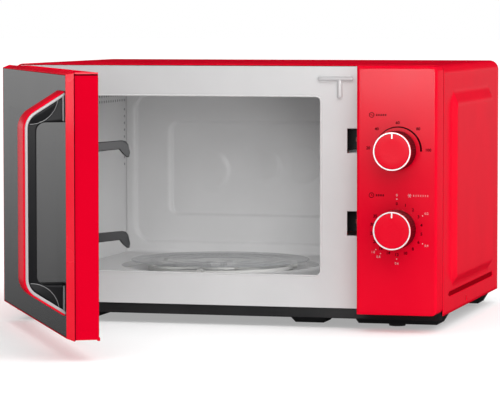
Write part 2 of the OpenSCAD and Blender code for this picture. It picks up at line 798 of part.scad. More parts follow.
module hinge_pins() color([0.6, 0.6, 0.62]) on_door() {
    for (z = tab_z)
        rod_z(z - 9.8, z + 9.8, hinge_x, 0, pin_r);
}

glass_in = 3.2;

module door_frame() color([0.9, 0.05, 0.14]) on_door() {
    side = 3;
    lip = 1;
    bezel = 7;
    slope = atan(2.6 / bezel);
    difference() {
        union() {
            block(door_x0, door_x1, door_y0, door_y0 + bezel, door_z0, door_z1);
            block(door_x0, door_x1 - lip, door_y0 + 5, door_y1 - 1, door_z0 + lip, door_z1 - lip);
            // small tail at the lower free corner
            block(door_x1 - 6, door_x1 - lip, door_y1 - 2, door_y1, door_z0, door_z0 + 3);
        }
        // sloping bezel round the glass
        for (s = [-1, 1]) {
            translate([s > 0 ? door_x1 : door_x0, door_y0 + bezel, 0]) rotate([0, 0, -s * slope])
                block(s * 4 - 4, s * 4 + 4, -10, 0, door_z0 - 1, door_z1 + 1);
            translate([0, door_y0 + bezel, s > 0 ? door_z1 : door_z0]) rotate([s * slope, 0, 0])
                block(door_x0 - 1, door_x1 + 1, -10, 0, s * 4 - 4, s * 4 + 4);
        }
        // seat of the glass, and the hollow behind it
        block(door_x0 + glass_in, door_x1 - glass_in, door_y0 - 1, door_y0 + 3.2,
            door_z0 + glass_in, door_z1 - glass_in);
        block(door_x0 + 22, door_x1 - 9, door_y0 - 1, door_y1 + 1, door_z0 + 12, door_z1 - 12);
        block(door_x0 + side, door_x1 - lip - side, door_y0 + 6, door_y1 + 1,
            door_z0 + lip + side, door_z1 - lip - side);
        // room for the hinge brackets as the door turns
        for (i = [0, 1]) {
            block(door_x0 - 1, hinge_x + 8.5, -8.5, door_y1 + 1, tab_z[i] - 2, tab_z[i] + 2);
            block(door_x0 - 1, door_x0 + side + 1, 8, door_y1 + 1,
                tab_z[i] - (i > 0 ? 16 : 2), tab_z[i] + (i > 0 ? 2 : 16));
        }
        // chamfer that clears the face plate while the door turns
        translate([door_x0, door_y1 - 1, 0]) rotate([0, 0, 45])
            block(-4, 4, -4, 4, door_z0 - 1, door_z1 + 1);
    }
    // hinge bosses above and below each bracket
    for (z = tab_z, s = [-1, 1])
        difference() {
            block(hinge_x - 7, hinge_x + 7, -8.5 + eps, 6, z + s * 7 - 4.6, z + s * 7 + 4.6);
            rod_z(z + s * 7 - 6, z + s * 7 + 6, hinge_x, 0, pin_r);
        }
}

module door_glass() color([0.25, 0.26, 0.28, 0.6]) on_door() {
    g = glass_in + 0.15;
    block(door_x0 + g, door_x1 - g, door_y0 + 0.1, door_y0 + 3.1, door_z0 + g, door_z1 - g);
}

win = [-178, 86, 66, 218];

module door_panel() color([0.55, 0.55, 0.57]) on_door() {
    x0 = door_x0 + 23;
    x1 = door_x1 - 24;
    z0 = door_z0 + 12;
    z1 = door_z1 - 12;
    difference() {
        block(x0, x1, 0, 10, z0, z1);
        block(x0 + 1, x1 - 1, 1, 11, z0 + 1, z1 - 1);
        block(win[0], win[1], -1, 2, win[2], win[3]);
    }
    // perforated screen over the window
    block(win[0] - 4, win[1] + 4, 0.9, 1.7, win[2] - 4, win[3] + 4);
}

module door_window() color([0.6, 0.62, 0.64, 0.5]) on_door() {
    block(win[0] - 3, win[1] + 3, 14.8, 15.8, win[2] - 3, win[3] + 3);
}

module choke_cover() color([0.16, 0.16, 0.17]) on_door() {
    x0 = door_x0 + 6;
    x1 = door_x1 - 5;
    z0 = door_z0 + 5;
    z1 = door_z1 - 5;
    difference() {
        block(x0, x1, 12.6, door_y1, z0, z1);
        block(win[0] - 0.5, win[1] + 0.5, 10, door_y1 + 1, win[2] - 0.5, win[3] + 0.5);
        block(win[0] - 3.2, win[1] + 3.2, 14.7, 15.9, win[2] - 3.2, win[3] + 3.2);
        for (z = slot_z)
            block(hook_x - 3.6, hook_x + 3.6, 10, door_y1 + 1, z - 3, z + 12.5);
        for (i = [0, 1])
            block(x0 - 1, hinge_x + 9, 10, door_y1 + 1,
                tab_z[i] - (i > 0 ? 16 : 2), tab_z[i] + (i > 0 ? 2 : 16));
    }
    // clip ribs that hold the cover in the frame
    for (x = [-150, -50, 50], z = [door_z0 + 5, door_z1 - 7])
        block(x, x + 12, 6, 12.7, z, z + 2);
}

// Side outline of one latch hook: an arm that rises from the door and a tooth at its end
function hook_outline(z) = [[pawl_y - 3, z - 1.6], [20, z + 1.9], [37.6, z + 3.6],
    [41, z - 0.8], [44.5, z - 3.8], [46.4, z - 3.4], [47, z + 0.6], [45.4, z + 8],
    [43.2, z + 10.9], [40, z + 11.4], [20, z + 10], [pawl_y - 3, z + 6.4]];

module latch_pawl() color([0.27, 0.27, 0.28]) on_door() {
    difference() {
        union() {
            for (z = slot_z)
                along_x(hook_x - 2.5, hook_x + 2.5) polygon(hook_outline(z));
            block(hook_x - 2.5, hook_x + 2.5, pawl_y - 4, pawl_y + 4, slot_z[1] - 4, slot_z[0] + 6.4);
            block(hook_x - 2.5, hook_x + 2.5, pawl_y - 4, pawl_y - 0.5, slot_z[1] - 16, slot_z[1] - 3);
        }
        rod_x(hook_x - 4, hook_x + 4, pawl_y, pawl_z, 2 + fit);
    }
}

module latch_pin() color([0.7, 0.7, 0.72]) on_door() {
    rod_x(hook_x - 5, hook_x + 6, pawl_y, pawl_z, 2);
    block(hook_x - 8, hook_x - 5 + eps, pawl_y - 4, pawl_y + 8.6, pawl_z - 5, pawl_z + 5);
}

module latch_spring() color([0.75, 0.75, 0.77]) on_door() {
    // tension spring, drawn as its outer sleeve with end eyes
    difference() {
        rod_z(62, 84, hook_x, pawl_y + 4, 3);
        rod_z(63, 83, hook_x, pawl_y + 4, 2);
    }
}

// ---------- handle ----------

bar_x1 = 131;
bar_x0 = bar_x1 - handle_w;
bar_z = [76.5, 209.5];
leg_z = [41.6, 238.8];
bar_y = -47.5;

// Half of the handle's outer contour, from the door to the middle of the bar
function upper_contour(inset) = let (k = inset)
    [[door_y0, leg_z[1] - k], [-15.5, leg_z[1] - 1.6 - k], [-38.5, 222.8 - k * 0.9],
     [-42.4 + k * 0.5, 219.3 - k * 0.75], [-45.4 + k * 0.8, 215 - k * 0.5],
     [-46.9 + k, 211.8 - k * 0.2], [bar_y + k, bar_z[1] - 1]];
function mirror_z(points) = [for (i = [len(points) - 1 : -1 : 0])
    [points[i][0], leg_z[0] + leg_z[1] - points[i][1]]];
function contour(inset) = concat(upper_contour(inset), mirror_z(upper_contour(inset)));

// Band between two insets of the contour
module handle_band(inset0, inset1) {
    difference() {
        polygon(contour(inset0));
        polygon(contour(inset1));
        translate([door_y0, 0]) square([5, 300]);
    }
}

module handle_cover() color([0.9, 0.06, 0.14]) on_door()
    along_x(bar_x0, bar_x1) handle_band(-1.6, 0);

module handle_trim() color([0.86, 0.87, 0.88]) on_door()
    along_x(bar_x0 + 0.3, bar_x1 + 0.4) handle_band(0, 3.3);

module handle_body() color([0.1, 0.1, 0.11]) on_door() difference() {
    along_x(bar_x0 + 0.6, bar_x1) difference() {
        polygon(contour(3.3));
        polygon(round_rect(bar_y + 10.9, 20, 68, 212.4, 8));
        translate([door_y0, 0]) square([20, 300]);
    }
    // scooped leg sides
    for (s = [-1, 1])
        translate([bar_x1 + 20, -30, 140.2 + s * 76]) sphere(r = 24, $fn = 48);
}

// ---------- fasteners ----------

module case_screws() color([0.75, 0.75, 0.76]) {
    for (p = rear_screws)
        translate([p[0], case_y1 - 0.3, p[1]]) rotate([90, 0, 0]) screw(9);
}

module chassis_screws() color([0.75, 0.75, 0.76]) {
    // turntable motor to the cavity floor, hinge brackets to the face plate
    for (s = [-1, 1])
        translate([table_x + s * motor_screw_dx, table_y, 36]) screw(4.9);
    for (z = hinge_screw_z)
        translate([hinge_screw_x, plate_y - 1.9, z]) rotate([-90, 0, 0]) {
            cylinder(h = 1.4, r1 = 3.2, r2 = screw_r);
            cylinder(h = 8, r = screw_r);
        }
}

outer_cabinet();
face_plate();
latch_plate();
cavity_wrapper();
cavity_floor();
cavity_back();
base_plate();
rear_cover();
rubber_feet();
control_panel();
interlock_bracket();
door_switches();
upper_switch_button();
lower_switch_button();
timer_unit();
timer_shaft();
timer_knob();
timer_knob_ring();
power_selector();
power_shaft();
power_knob();
power_knob_ring();
magnetron();
magnetron_fins();
waveguide();
waveguide_cover();
transformer_core();
transformer_coils();
high_voltage_capacitor();
high_voltage_diode();
filter_board();
filter_parts();
fan_shroud();
fan_motor();
fan_blade();
lamp_socket();
lamp_bulb();
cable_gland();
turntable_motor();
drive_coupling();
glass_turntable();
roller_ring();
roller_wheel_1();
roller_wheel_2();
roller_wheel_3();
hinge_brackets();
hinge_pins();
door_frame();
door_glass();
door_panel();
door_window();
choke_cover();
latch_pawl();
latch_pin();
latch_spring();
handle_body();
handle_trim();
handle_cover();
case_screws();
chassis_screws();
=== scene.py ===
import json
import math

import bmesh
import bpy
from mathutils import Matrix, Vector


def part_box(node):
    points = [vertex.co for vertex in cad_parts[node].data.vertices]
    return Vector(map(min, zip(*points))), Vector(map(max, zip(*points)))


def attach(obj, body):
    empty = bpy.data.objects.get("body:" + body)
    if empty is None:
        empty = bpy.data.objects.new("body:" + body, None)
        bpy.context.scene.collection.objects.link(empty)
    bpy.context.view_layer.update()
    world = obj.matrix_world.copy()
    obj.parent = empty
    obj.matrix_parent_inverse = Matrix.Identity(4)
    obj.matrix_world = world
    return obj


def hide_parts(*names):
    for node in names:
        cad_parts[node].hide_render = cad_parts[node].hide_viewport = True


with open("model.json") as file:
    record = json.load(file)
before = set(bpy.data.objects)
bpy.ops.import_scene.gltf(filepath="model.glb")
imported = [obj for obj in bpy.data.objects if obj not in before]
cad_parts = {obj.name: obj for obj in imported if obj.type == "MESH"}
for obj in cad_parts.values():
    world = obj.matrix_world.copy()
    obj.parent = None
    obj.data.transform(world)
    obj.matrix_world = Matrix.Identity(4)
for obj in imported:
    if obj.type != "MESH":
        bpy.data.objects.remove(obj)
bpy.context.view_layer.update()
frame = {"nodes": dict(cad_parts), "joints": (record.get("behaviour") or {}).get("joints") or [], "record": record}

MM = 0.001
scene = bpy.context.scene
scene.view_settings.view_transform = "Standard"
scene.view_settings.look = "None"
SLOT_OF = {s["node"]: s["material_slot"] for s in frame["record"]["subparts"]}
JOINTS = {j["name"]: j for j in frame["joints"]}


def box_mm(node):
    """Lowest and highest corner of a CAD node in millimetres."""
    lo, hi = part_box(node)
    return [v / MM for v in lo], [v / MM for v in hi]


# ---------- frame values
case_lo, case_hi = box_mm("outer_cabinet")
panel_lo, panel_hi = box_mm("control_panel")
plate_lo = box_mm("face_plate")[0]
cavity_lo, cavity_hi = box_mm("cavity_wrapper")
SHEET = 1.2
CASE_X = panel_hi[0]
CASE_Z0, CASE_Z1 = case_lo[2], case_hi[2]
CASE_Y0, CASE_Y1 = case_lo[1], case_hi[1]
PANEL_X0, PANEL_Y = panel_lo[0], panel_lo[1]

# The door is drawn closed and turned to its rest angle about the hinge.
HINGE_X = JOINTS["door_hinge"]["pos_m"][0] / MM
OPEN = math.radians(max(JOINTS["door_hinge"]["range_deg"]))
DOOR_X0 = -CASE_X
DOOR_GAP = 1.5
DOOR_X1 = PANEL_X0 - DOOR_GAP
DOOR_Y0 = PANEL_Y
DOOR_THICK = 30
DOOR_Y1 = DOOR_Y0 + DOOR_THICK
DOOR_Z0, DOOR_Z1 = box_mm("door_frame")[0][2], box_mm("door_frame")[1][2]


def on_door(p):
    """A point of the closed door, turned to where the open door is drawn."""
    x, y = p[0] - HINGE_X, p[1]
    c, s = math.cos(OPEN), math.sin(OPEN)
    return (HINGE_X + x * c + y * s, -x * s + y * c, p[2])


# ---------- materials
def node(tree, kind, **inputs):
    """A shader node; each keyword sets a socket, or a property of the node."""
    n = tree.nodes.new(kind)
    for key, value in inputs.items():
        socket = key.replace("_", " ")
        if socket in n.inputs:
            n.inputs[socket].default_value = value
        else:
            setattr(n, key, value)
    return n


def maths(tree, operation, *values):
    """Result of a maths node; each value is a number or an output of another node."""
    n = node(tree, "ShaderNodeMath", operation=operation)
    for i, value in enumerate(values):
        if isinstance(value, (int, float)):
            n.inputs[i].default_value = value
        else:
            tree.links.new(value, n.inputs[i])
    return n.outputs[0]


def start(name):
    """A new material with its node tree and its main shader."""
    m = bpy.data.materials.new(name)
    m.use_nodes = True
    tree = m.node_tree
    return m, tree, tree.nodes["Principled BSDF"]


def mapped(tree, stretch=(1, 1, 1)):
    """Object coordinates, in metres, stretched along an axis for brushed or moulded grain."""
    coords = tree.nodes.new("ShaderNodeTexCoord")
    mapping = tree.nodes.new("ShaderNodeMapping")
    mapping.inputs["Scale"].default_value = stretch
    tree.links.new(coords.outputs["Object"], mapping.inputs["Vector"])
    return mapping.outputs["Vector"]


def noise(tree, vector, scale, detail=3.0, roughness=0.5):
    """Noise value along a vector."""
    n = node(tree, "ShaderNodeTexNoise", Scale=scale, Detail=detail, Roughness=roughness)
    tree.links.new(vector, n.inputs["Vector"])
    return n.outputs["Fac"]


def mix_colour(tree, factor, a, b):
    """Colour between a and b by a factor."""
    m = tree.nodes.new("ShaderNodeMix")
    m.data_type = "RGBA"
    m.inputs["A"].default_value = (*a, 1)
    m.inputs["B"].default_value = (*b, 1)
    tree.links.new(factor, m.inputs["Factor"])
    return m.outputs["Result"]


def ranged(tree, value, lo, hi, from_lo=0.3, from_hi=0.7):
    """Value carried from one range to another."""
    r = node(tree, "ShaderNodeMapRange", From_Min=from_lo, From_Max=from_hi, To_Min=lo, To_Max=hi)
    tree.links.new(value, r.inputs["Value"])
    return r.outputs["Result"]


def surface(name, base, rough, metallic=0.0, spec=0.5, tint=0.06, patch=14.0, grain=900.0,
            depth=0.012, vary=0.05, stretch=(1, 1, 1)):
    """A finish with slow colour drift, uneven gloss and fine relief.

    tint is the colour drift, vary the drift in roughness, patch and grain the scales per metre,
    and depth the relief in millimetres."""
    m, tree, shader = start(name)
    vector = mapped(tree, stretch)
    slow = noise(tree, vector, patch, 4.0)
    fine = noise(tree, vector, grain, 2.0)
    low = [c * (1 - tint) for c in base]
    high = [min(1.0, c * (1 + tint)) for c in base]
    colour = mix_colour(tree, ranged(tree, slow, 0, 1), low, high)
    tree.links.new(colour, shader.inputs["Base Color"])
    tree.links.new(ranged(tree, slow, max(0.02, rough - vary), rough + vary), shader.inputs["Roughness"])
    bump = node(tree, "ShaderNodeBump", Strength=0.6, Distance=depth * MM)
    tree.links.new(fine, bump.inputs["Height"])
    tree.links.new(bump.outputs["Normal"], shader.inputs["Normal"])
    shader.inputs["Metallic"].default_value = metallic
    shader.inputs["Specular IOR Level"].default_value = spec
    return m


RED = (0.735, 0.0006, 0.018)
FINISH = {
    "red_paint": surface("case_red_enamel", RED, 0.24, spec=0.10, tint=0.03, grain=700, vary=0.03),
    "red_plastic": surface("panel_red_gloss", RED, 0.20, spec=0.06, tint=0.03, grain=1100, depth=0.006),
    "grey_paint": surface("oven_grey_enamel", (0.64, 0.638, 0.64), 0.36, spec=0.28, tint=0.03, grain=1600),
    "black_paint": surface("base_black_enamel", (0.016, 0.016, 0.017), 0.42, spec=0.3, tint=0.25),
    "zinc_steel": surface("zinc_sheet", (0.50, 0.51, 0.53), 0.36, metallic=0.9, tint=0.14, patch=60,
                          grain=500, vary=0.1),
    "rear_paint": surface("rear_black_enamel", (0.035, 0.035, 0.037), 0.5, tint=0.2, depth=0.02),
    "black_plastic": surface("black_moulding", (0.010, 0.010, 0.011), 0.34, spec=0.04, tint=0.2,
                             grain=1400),
    "dark_plastic": surface("dark_grey_moulding", (0.030, 0.030, 0.032), 0.42, spec=0.15, tint=0.12,
                            grain=1400),
    "ivory_plastic": surface("ivory_moulding", (0.72, 0.69, 0.6), 0.5, tint=0.06),
    "white_plastic": surface("white_moulding", (0.8, 0.8, 0.78), 0.4, tint=0.05),
    "red_button": surface("red_switch_button", (0.5, 0.02, 0.02), 0.35, tint=0.1),
    "rubber": surface("foot_rubber", (0.02, 0.02, 0.02), 0.75, tint=0.25, grain=1800, depth=0.03),
    "silver_trim": surface("satin_silver", (0.42, 0.405, 0.412), 0.3, spec=0.2, tint=0.04,
                           grain=700, stretch=(8, 1, 1), depth=0.004),
    "knob_red": surface("dial_red", (0.74, 0.0006, 0.018), 0.3, spec=0.05, tint=0.05, grain=1300),
    "steel": surface("plated_steel", (0.58, 0.58, 0.59), 0.28, metallic=1.0, tint=0.1, patch=90,
                     grain=900, vary=0.08),
    "aluminium": surface("rolled_aluminium", (0.72, 0.73, 0.74), 0.3, metallic=1.0, tint=0.08,
                         patch=40, grain=500, stretch=(1, 9, 1)),
    "laminations": surface("stacked_laminations", (0.16, 0.15, 0.145), 0.55, metallic=0.5, tint=0.3,
                           patch=50, grain=1500, stretch=(0.3, 6, 0.3), depth=0.05),
    "copper_wire": surface("enamelled_windings", (0.5, 0.2, 0.07), 0.35, metallic=0.7, tint=0.25,
                           patch=700, grain=1200, stretch=(0.15, 0.15, 2), depth=0.1),
    "mica": surface("mica_sheet", (0.56, 0.49, 0.37), 0.45, tint=0.18, patch=120, depth=0.03),
    "board_green": surface("circuit_board", (0.06, 0.22, 0.09), 0.4, tint=0.2, patch=200),
    # finishes of single places: painted shade for the groove, the joints, the door side, the dial skirts and the
    # rib; a painted highlight on the handle's leaf edges; the bezel, dial rings and printed marks
    # painted shade: a dark red for the groove's floor, standing in for the shade inside the recess
    "groove_painted_shade": surface("groove_painted_shade_red", (0.24, 0.001, 0.005), 0.6, spec=0.0, tint=0.05),
    # painted shade: near-black red for gaps and for the strips under the door's lips, where shadow falls
    "gap_painted_shade": surface("joint_shadow_red", (0.05, 0.001, 0.003), 0.7, spec=0.0, tint=0.1),
    # painted shade: a darker copy of the case red for the door frame's side face
    "door_side_painted_shade": surface("door_side_painted_shade_red", (0.60, 0.0005, 0.015), 0.3, spec=0.0, tint=0.03, grain=1100,
                         depth=0.006),
    "bezel_red": surface("door_bezel_red", RED, 0.24, spec=0.45, tint=0.03, grain=1100, depth=0.006),
    # painted shade: a near-black copy of the dial red for the skirt's side
    "knob_side_painted_shade": surface("dial_side_red", (0.075, 0.002, 0.005), 0.34, spec=0.1, tint=0.08,
                         grain=1300),
    "ring_white": surface("dial_ring_silver", (0.80, 0.80, 0.81), 0.3, spec=0.3, metallic=0.1,
                          tint=0.03),
    # painted shade: the face plate's grey made darker on the pressed rib
    "rib_painted_shade": surface("pressed_rib_painted_shade", (0.50, 0.50, 0.505), 0.36, tint=0.04, grain=1600),
    # painted highlight: a paler grey for the lines round the handle's leaves and tabs
    "leaf_edge_painted_highlight": surface("scoop_edge_painted_highlight", (0.20, 0.20, 0.203), 0.35, spec=0.2),
    "ink_dark": surface("printed_dark_ink", (0.008, 0.001, 0.002), 0.6, spec=0.0, tint=0.2,
                        grain=2500, depth=0.002),
    "ink_pale": surface("printed_pale_ink", (0.70, 0.42, 0.44), 0.6, spec=0.05, tint=0.08,
                        grain=2500, depth=0.002),
}


def glass(name, base, rough, facing_alpha, edge_alpha):
    """Glass drawn as a clear skin: more opaque where it is seen edge on."""
    m, tree, shader = start(name)
    vector = mapped(tree)
    smears = noise(tree, vector, 22.0, 5.0)
    colour = mix_colour(tree, smears, [c * 0.9 for c in base], base)
    tree.links.new(colour, shader.inputs["Base Color"])
    tree.links.new(ranged(tree, smears, rough, rough + 0.05), shader.inputs["Roughness"])
    weight = node(tree, "ShaderNodeLayerWeight", Blend=0.35)
    tree.links.new(ranged(tree, weight.outputs["Facing"], facing_alpha, edge_alpha, 0.0, 1.0),
                   shader.inputs["Alpha"])
    return m


FINISH["clear_glass"] = glass("turntable_glass", (0.30, 0.31, 0.32), 0.08, 0.26, 0.5)
FINISH["bulb_glass"] = glass("lamp_bulb_glass", (0.9, 0.86, 0.74), 0.06, 0.35, 0.9)
FINISH["clear_film"] = glass("door_inner_film", (0.2, 0.2, 0.21), 0.12, 0.45, 0.9)


def dot_rows(tree, pitch, radius):
    """1 inside round holes on a square grid in X and Z of the closed door, 0 between them."""
    coords = tree.nodes.new("ShaderNodeTexCoord")
    turn = tree.nodes.new("ShaderNodeMapping")
    turn.vector_type = "TEXTURE"
    turn.inputs["Location"].default_value = (HINGE_X * MM, 0, 0)
    turn.inputs["Rotation"].default_value = (0, 0, -OPEN)
    tree.links.new(coords.outputs["Object"], turn.inputs["Vector"])
    split = tree.nodes.new("ShaderNodeSeparateXYZ")
    tree.links.new(turn.outputs["Vector"], split.inputs["Vector"])
    squares = []
    for axis in ("X", "Z"):
        scaled = maths(tree, "MULTIPLY", split.outputs[axis], 1 / (pitch * MM))
        centred = maths(tree, "SUBTRACT", maths(tree, "FRACT", scaled), 0.5)
        squares.append(maths(tree, "POWER", centred, 2))
    total = maths(tree, "ADD", *squares)
    return maths(tree, "LESS_THAN", total, (radius / pitch) ** 2), split


def window_mask(tree, split, x0, x1, z0, z1):
    """1 inside a rectangle of the closed door, given in millimetres."""
    result = None
    for axis, origin, lo, hi in (("X", HINGE_X, x0, x1), ("Z", 0, z0, z1)):
        for operation, limit in (("GREATER_THAN", lo), ("LESS_THAN", hi)):
            test = maths(tree, operation, split.outputs[axis], (limit - origin) * MM)
            result = test if result is None else maths(tree, "MULTIPLY", result, test)
    return result


WINDOW = (-178, 86, 66, 218)


def front_glass():
    """Tinted safety glass: an opaque printed border round the viewing window."""
    m, tree, shader = start("door_front_glass")
    dots, split = dot_rows(tree, 3.0, 1.0)
    mask = window_mask(tree, split, *WINDOW)
    shown = maths(tree, "MULTIPLY", dots, mask)
    print_colour = mix_colour(tree, shown, (0.024, 0.024, 0.026), (0.055, 0.055, 0.058))
    tree.links.new(print_colour, shader.inputs["Base Color"])
    smears = noise(tree, mapped(tree), 9.0, 4.0)
    tree.links.new(ranged(tree, smears, 0.13, 0.17), shader.inputs["Roughness"])
    tree.links.new(ranged(tree, mask, 1.0, 0.94, 0.0, 1.0), shader.inputs["Alpha"])
    shader.inputs["Specular IOR Level"].default_value = 0.5
    return m


def screen_metal():
    """Zinc-coated door pan with the perforated screen behind the window."""
    m, tree, shader = start("door_screen")
    dots, split = dot_rows(tree, 2.2, 0.75)
    mask = window_mask(tree, split, WINDOW[0] + 3, WINDOW[1] - 3, WINDOW[2] + 3, WINDOW[3] - 3)
    shown = maths(tree, "MULTIPLY", dots, mask)
    colour = mix_colour(tree, shown, (0.05, 0.05, 0.052), (0.004, 0.004, 0.004))
    tree.links.new(colour, shader.inputs["Base Color"])
    drift = noise(tree, mapped(tree), 40.0)
    tree.links.new(ranged(tree, drift, 0.4, 0.55), shader.inputs["Roughness"])
    shader.inputs["Metallic"].default_value = 0.3
    return m


FINISH["tinted_glass"] = front_glass()
SCREEN = screen_metal()

# ---------- mesh helpers
def solid(name, verts, faces, body, slot, material=None, smooth=38):
    """A mesh piece from points in millimetres, smooth where faces meet under that many degrees.

    The door's pieces are given closed and turned to where the open door is drawn."""
    points = [on_door(v) for v in verts] if body == "door" else verts
    mesh = bpy.data.meshes.new(name)
    mesh.from_pydata([[c * MM for c in p] for p in points], [], faces)
    work = bmesh.new()
    work.from_mesh(mesh)
    bmesh.ops.remove_doubles(work, verts=work.verts, dist=1e-7)
    bmesh.ops.recalc_face_normals(work, faces=work.faces)
    work.to_mesh(mesh)
    work.free()
    for p in mesh.polygons:
        p.use_smooth = True
    mesh.set_sharp_from_angle(angle=math.radians(smooth))
    mesh.materials.append(material or FINISH[slot])
    piece = bpy.data.objects.new(name, mesh)
    scene.collection.objects.link(piece)
    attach(piece, body)
    return piece


def loft(rings, ring_closed=True, path_closed=False):
    """Quads between rings of equal length; a closed ring on an open path gets end caps."""
    n, m = len(rings[0]), len(rings)
    verts = [p for ring in rings for p in ring]
    faces = []
    for i in range(m if path_closed else m - 1):
        for j in range(n if ring_closed else n - 1):
            k, nxt = (j + 1) % n, (i + 1) % m
            faces.append([i * n + j, i * n + k, nxt * n + k, nxt * n + j])
    if ring_closed and not path_closed:
        faces += [list(range(n)), list(range((m - 1) * n, m * n))]
    return verts, faces


def join(*parts):
    """Several (points, faces) as one."""
    verts, faces = [], []
    for v, f in parts:
        base = len(verts)
        verts += v
        faces += [[i + base for i in face] for face in f]
    return verts, faces


def arc(cx, cy, r, a0, a1, n):
    """n + 1 points on an arc, angles in degrees."""
    return [(cx + r * math.cos(math.radians(a0 + (a1 - a0) * i / n)),
             cy + r * math.sin(math.radians(a0 + (a1 - a0) * i / n))) for i in range(n + 1)]


def rounded(x0, x1, z0, z1, r, n=8):
    """Points round a rectangle with rounded corners, anticlockwise."""
    return (arc(x1 - r, z0 + r, r, -90, 0, n) + arc(x1 - r, z1 - r, r, 0, 90, n)
            + arc(x0 + r, z1 - r, r, 90, 180, n) + arc(x0 + r, z0 + r, r, 180, 270, n))


def lathe(profile, place, n=72, relief=None):
    """Profile of (radius, height) turned about an axis; relief(angle, index) adds to a radius."""
    rings = []
    for i in range(n):
        a = 2 * math.pi * i / n
        ring = []
        for k, (r, h) in enumerate(profile):
            q = r + (relief(a, k) if relief else 0)
            ring.append(place(q * math.cos(a), q * math.sin(a), h))
        rings.append(ring)
    return loft(rings, ring_closed=False, path_closed=True)


def tube(points, r, n=8):
    """Round tube along points."""
    pts = [Vector(p) for p in points]
    rings = []
    up = Vector((0.31, 0.17, 0.93))
    for i, p in enumerate(pts):
        t = (pts[min(i + 1, len(pts) - 1)] - pts[max(i - 1, 0)]).normalized()
        u = t.cross(up).normalized()
        w = t.cross(u)
        rings.append([tuple(p + r * (math.cos(2 * math.pi * k / n) * u + math.sin(2 * math.pi * k / n) * w))
                      for k in range(n)])
    return loft(rings)


def slab(outline_at, depths):
    """Rounded tray: outline_at(inset) gives (x, z) points, depths is a list of (inset, y or function)."""
    rings = []
    for inset, y in depths:
        rings.append([(x, y(x) if callable(y) else y, z) for x, z in outline_at(inset)])
    return loft(rings)


def fillet(r, y_front, n=6):
    """(inset, y) steps round an edge from the side wall to the front face."""
    return [(r - r * math.cos(math.radians(90 * i / n)), y_front + r - r * math.sin(math.radians(90 * i / n)))
            for i in range(n + 1)]


def soften(name, width, segments=2):
    """Rounded edges on a carried-over CAD node."""
    cad = frame["nodes"][name]
    weld = cad.modifiers.new("weld", "WELD")
    weld.merge_threshold = 1e-6
    bevel = cad.modifiers.new("bevel", "BEVEL")
    bevel.width = width * MM
    bevel.segments = segments
    bevel.limit_method = "ANGLE"
    bevel.angle_limit = math.radians(40)
    bevel.use_clamp_overlap = True


# ---------- carried-over CAD nodes
# the door frame takes the darker red of painted shade on its side
OWN_FINISH = {"door_panel": SCREEN, "door_frame": FINISH["door_side_painted_shade"]}
for name, cad in frame["nodes"].items():
    finish = OWN_FINISH.get(name, FINISH[SLOT_OF[name]])
    cad.data.materials.clear()
    cad.data.materials.append(finish)

# ---------- the case
# pressed side panel: distances from the case's edges, slope lengths, corner and rise
EMBOSS = dict(front=39, back=51, low=27.3, high=26.9, slope_front=5.5, slope_back=4.5, slope_low=7.7,
              slope_high=12.0, corner=1.9, rise=5.0)
# long groove: ends and height, half width and depth; slit under it: place, half width and depth
GROOVE = dict(y0=CASE_Y0 + 31.5, y1=CASE_Y0 + 270, z=33.0, r=2.5, depth=1.9)
SLIT = dict(y=143.8, r=0.9, z0=19, z1=24, depth=1.6)
CASE_R = 9.5
# (from, to, step) where the case is cut more closely: along its slopes, groove and slit
FINE_Z = ((18, 38, 0.6), (40, 54, 0.9), (214, 236, 1.1))
FINE_Y = ((48, 54, 0.8), (60, 72, 0.8), (142, 147, 0.4), (262, 274, 0.8), (290, 300, 0.8))


def knee(t, e=0.22):
    """0 to 1 with short rounded ends."""
    if t <= -e:
        return 0.0
    if t < e:
        return (t + e) ** 2 / (4 * e)
    if t < 1 - e:
        return t
    if t < 1 + e:
        return 1 - (1 + e - t) ** 2 / (4 * e)
    return 1.0


def emboss(y, z):
    """How far the pressed side panel stands out at a point of the case side."""
    e = EMBOSS
    a = min((y - CASE_Y0 - e["front"]) / e["slope_front"], (CASE_Y1 - e["back"] - y) / e["slope_back"])
    b = min((z - CASE_Z0 - e["low"]) / e["slope_low"], (CASE_Z1 - e["high"] - z) / e["slope_high"])
    t = min(a, b)
    if a < e["corner"] and b < e["corner"]:
        t = e["corner"] - math.hypot(e["corner"] - a, e["corner"] - b)
    return e["rise"] * knee(t)


def groove(y, z):
    """Depth of the long groove and the short slit under it."""
    if abs(y - SLIT["y"]) < SLIT["r"] and SLIT["z0"] <= z <= SLIT["z1"]:
        return SLIT["depth"]
    d = math.hypot(max(GROOVE["y0"] - y, y - GROOVE["y1"], 0), z - GROOVE["z"])
    return GROOVE["depth"] * (1 - knee(d - GROOVE["r"] + 0.8, 0.2))


def spaced(lo, hi, step, dense=()):
    """Values from lo to hi, closer together inside each (from, to, step) of dense."""
    out, v = [], lo
    while v < hi - 1e-6:
        out.append(v)
        s = step
        for a, b, fine in dense:
            if a <= v < b:
                s = fine
        v += s
    return out + [hi]


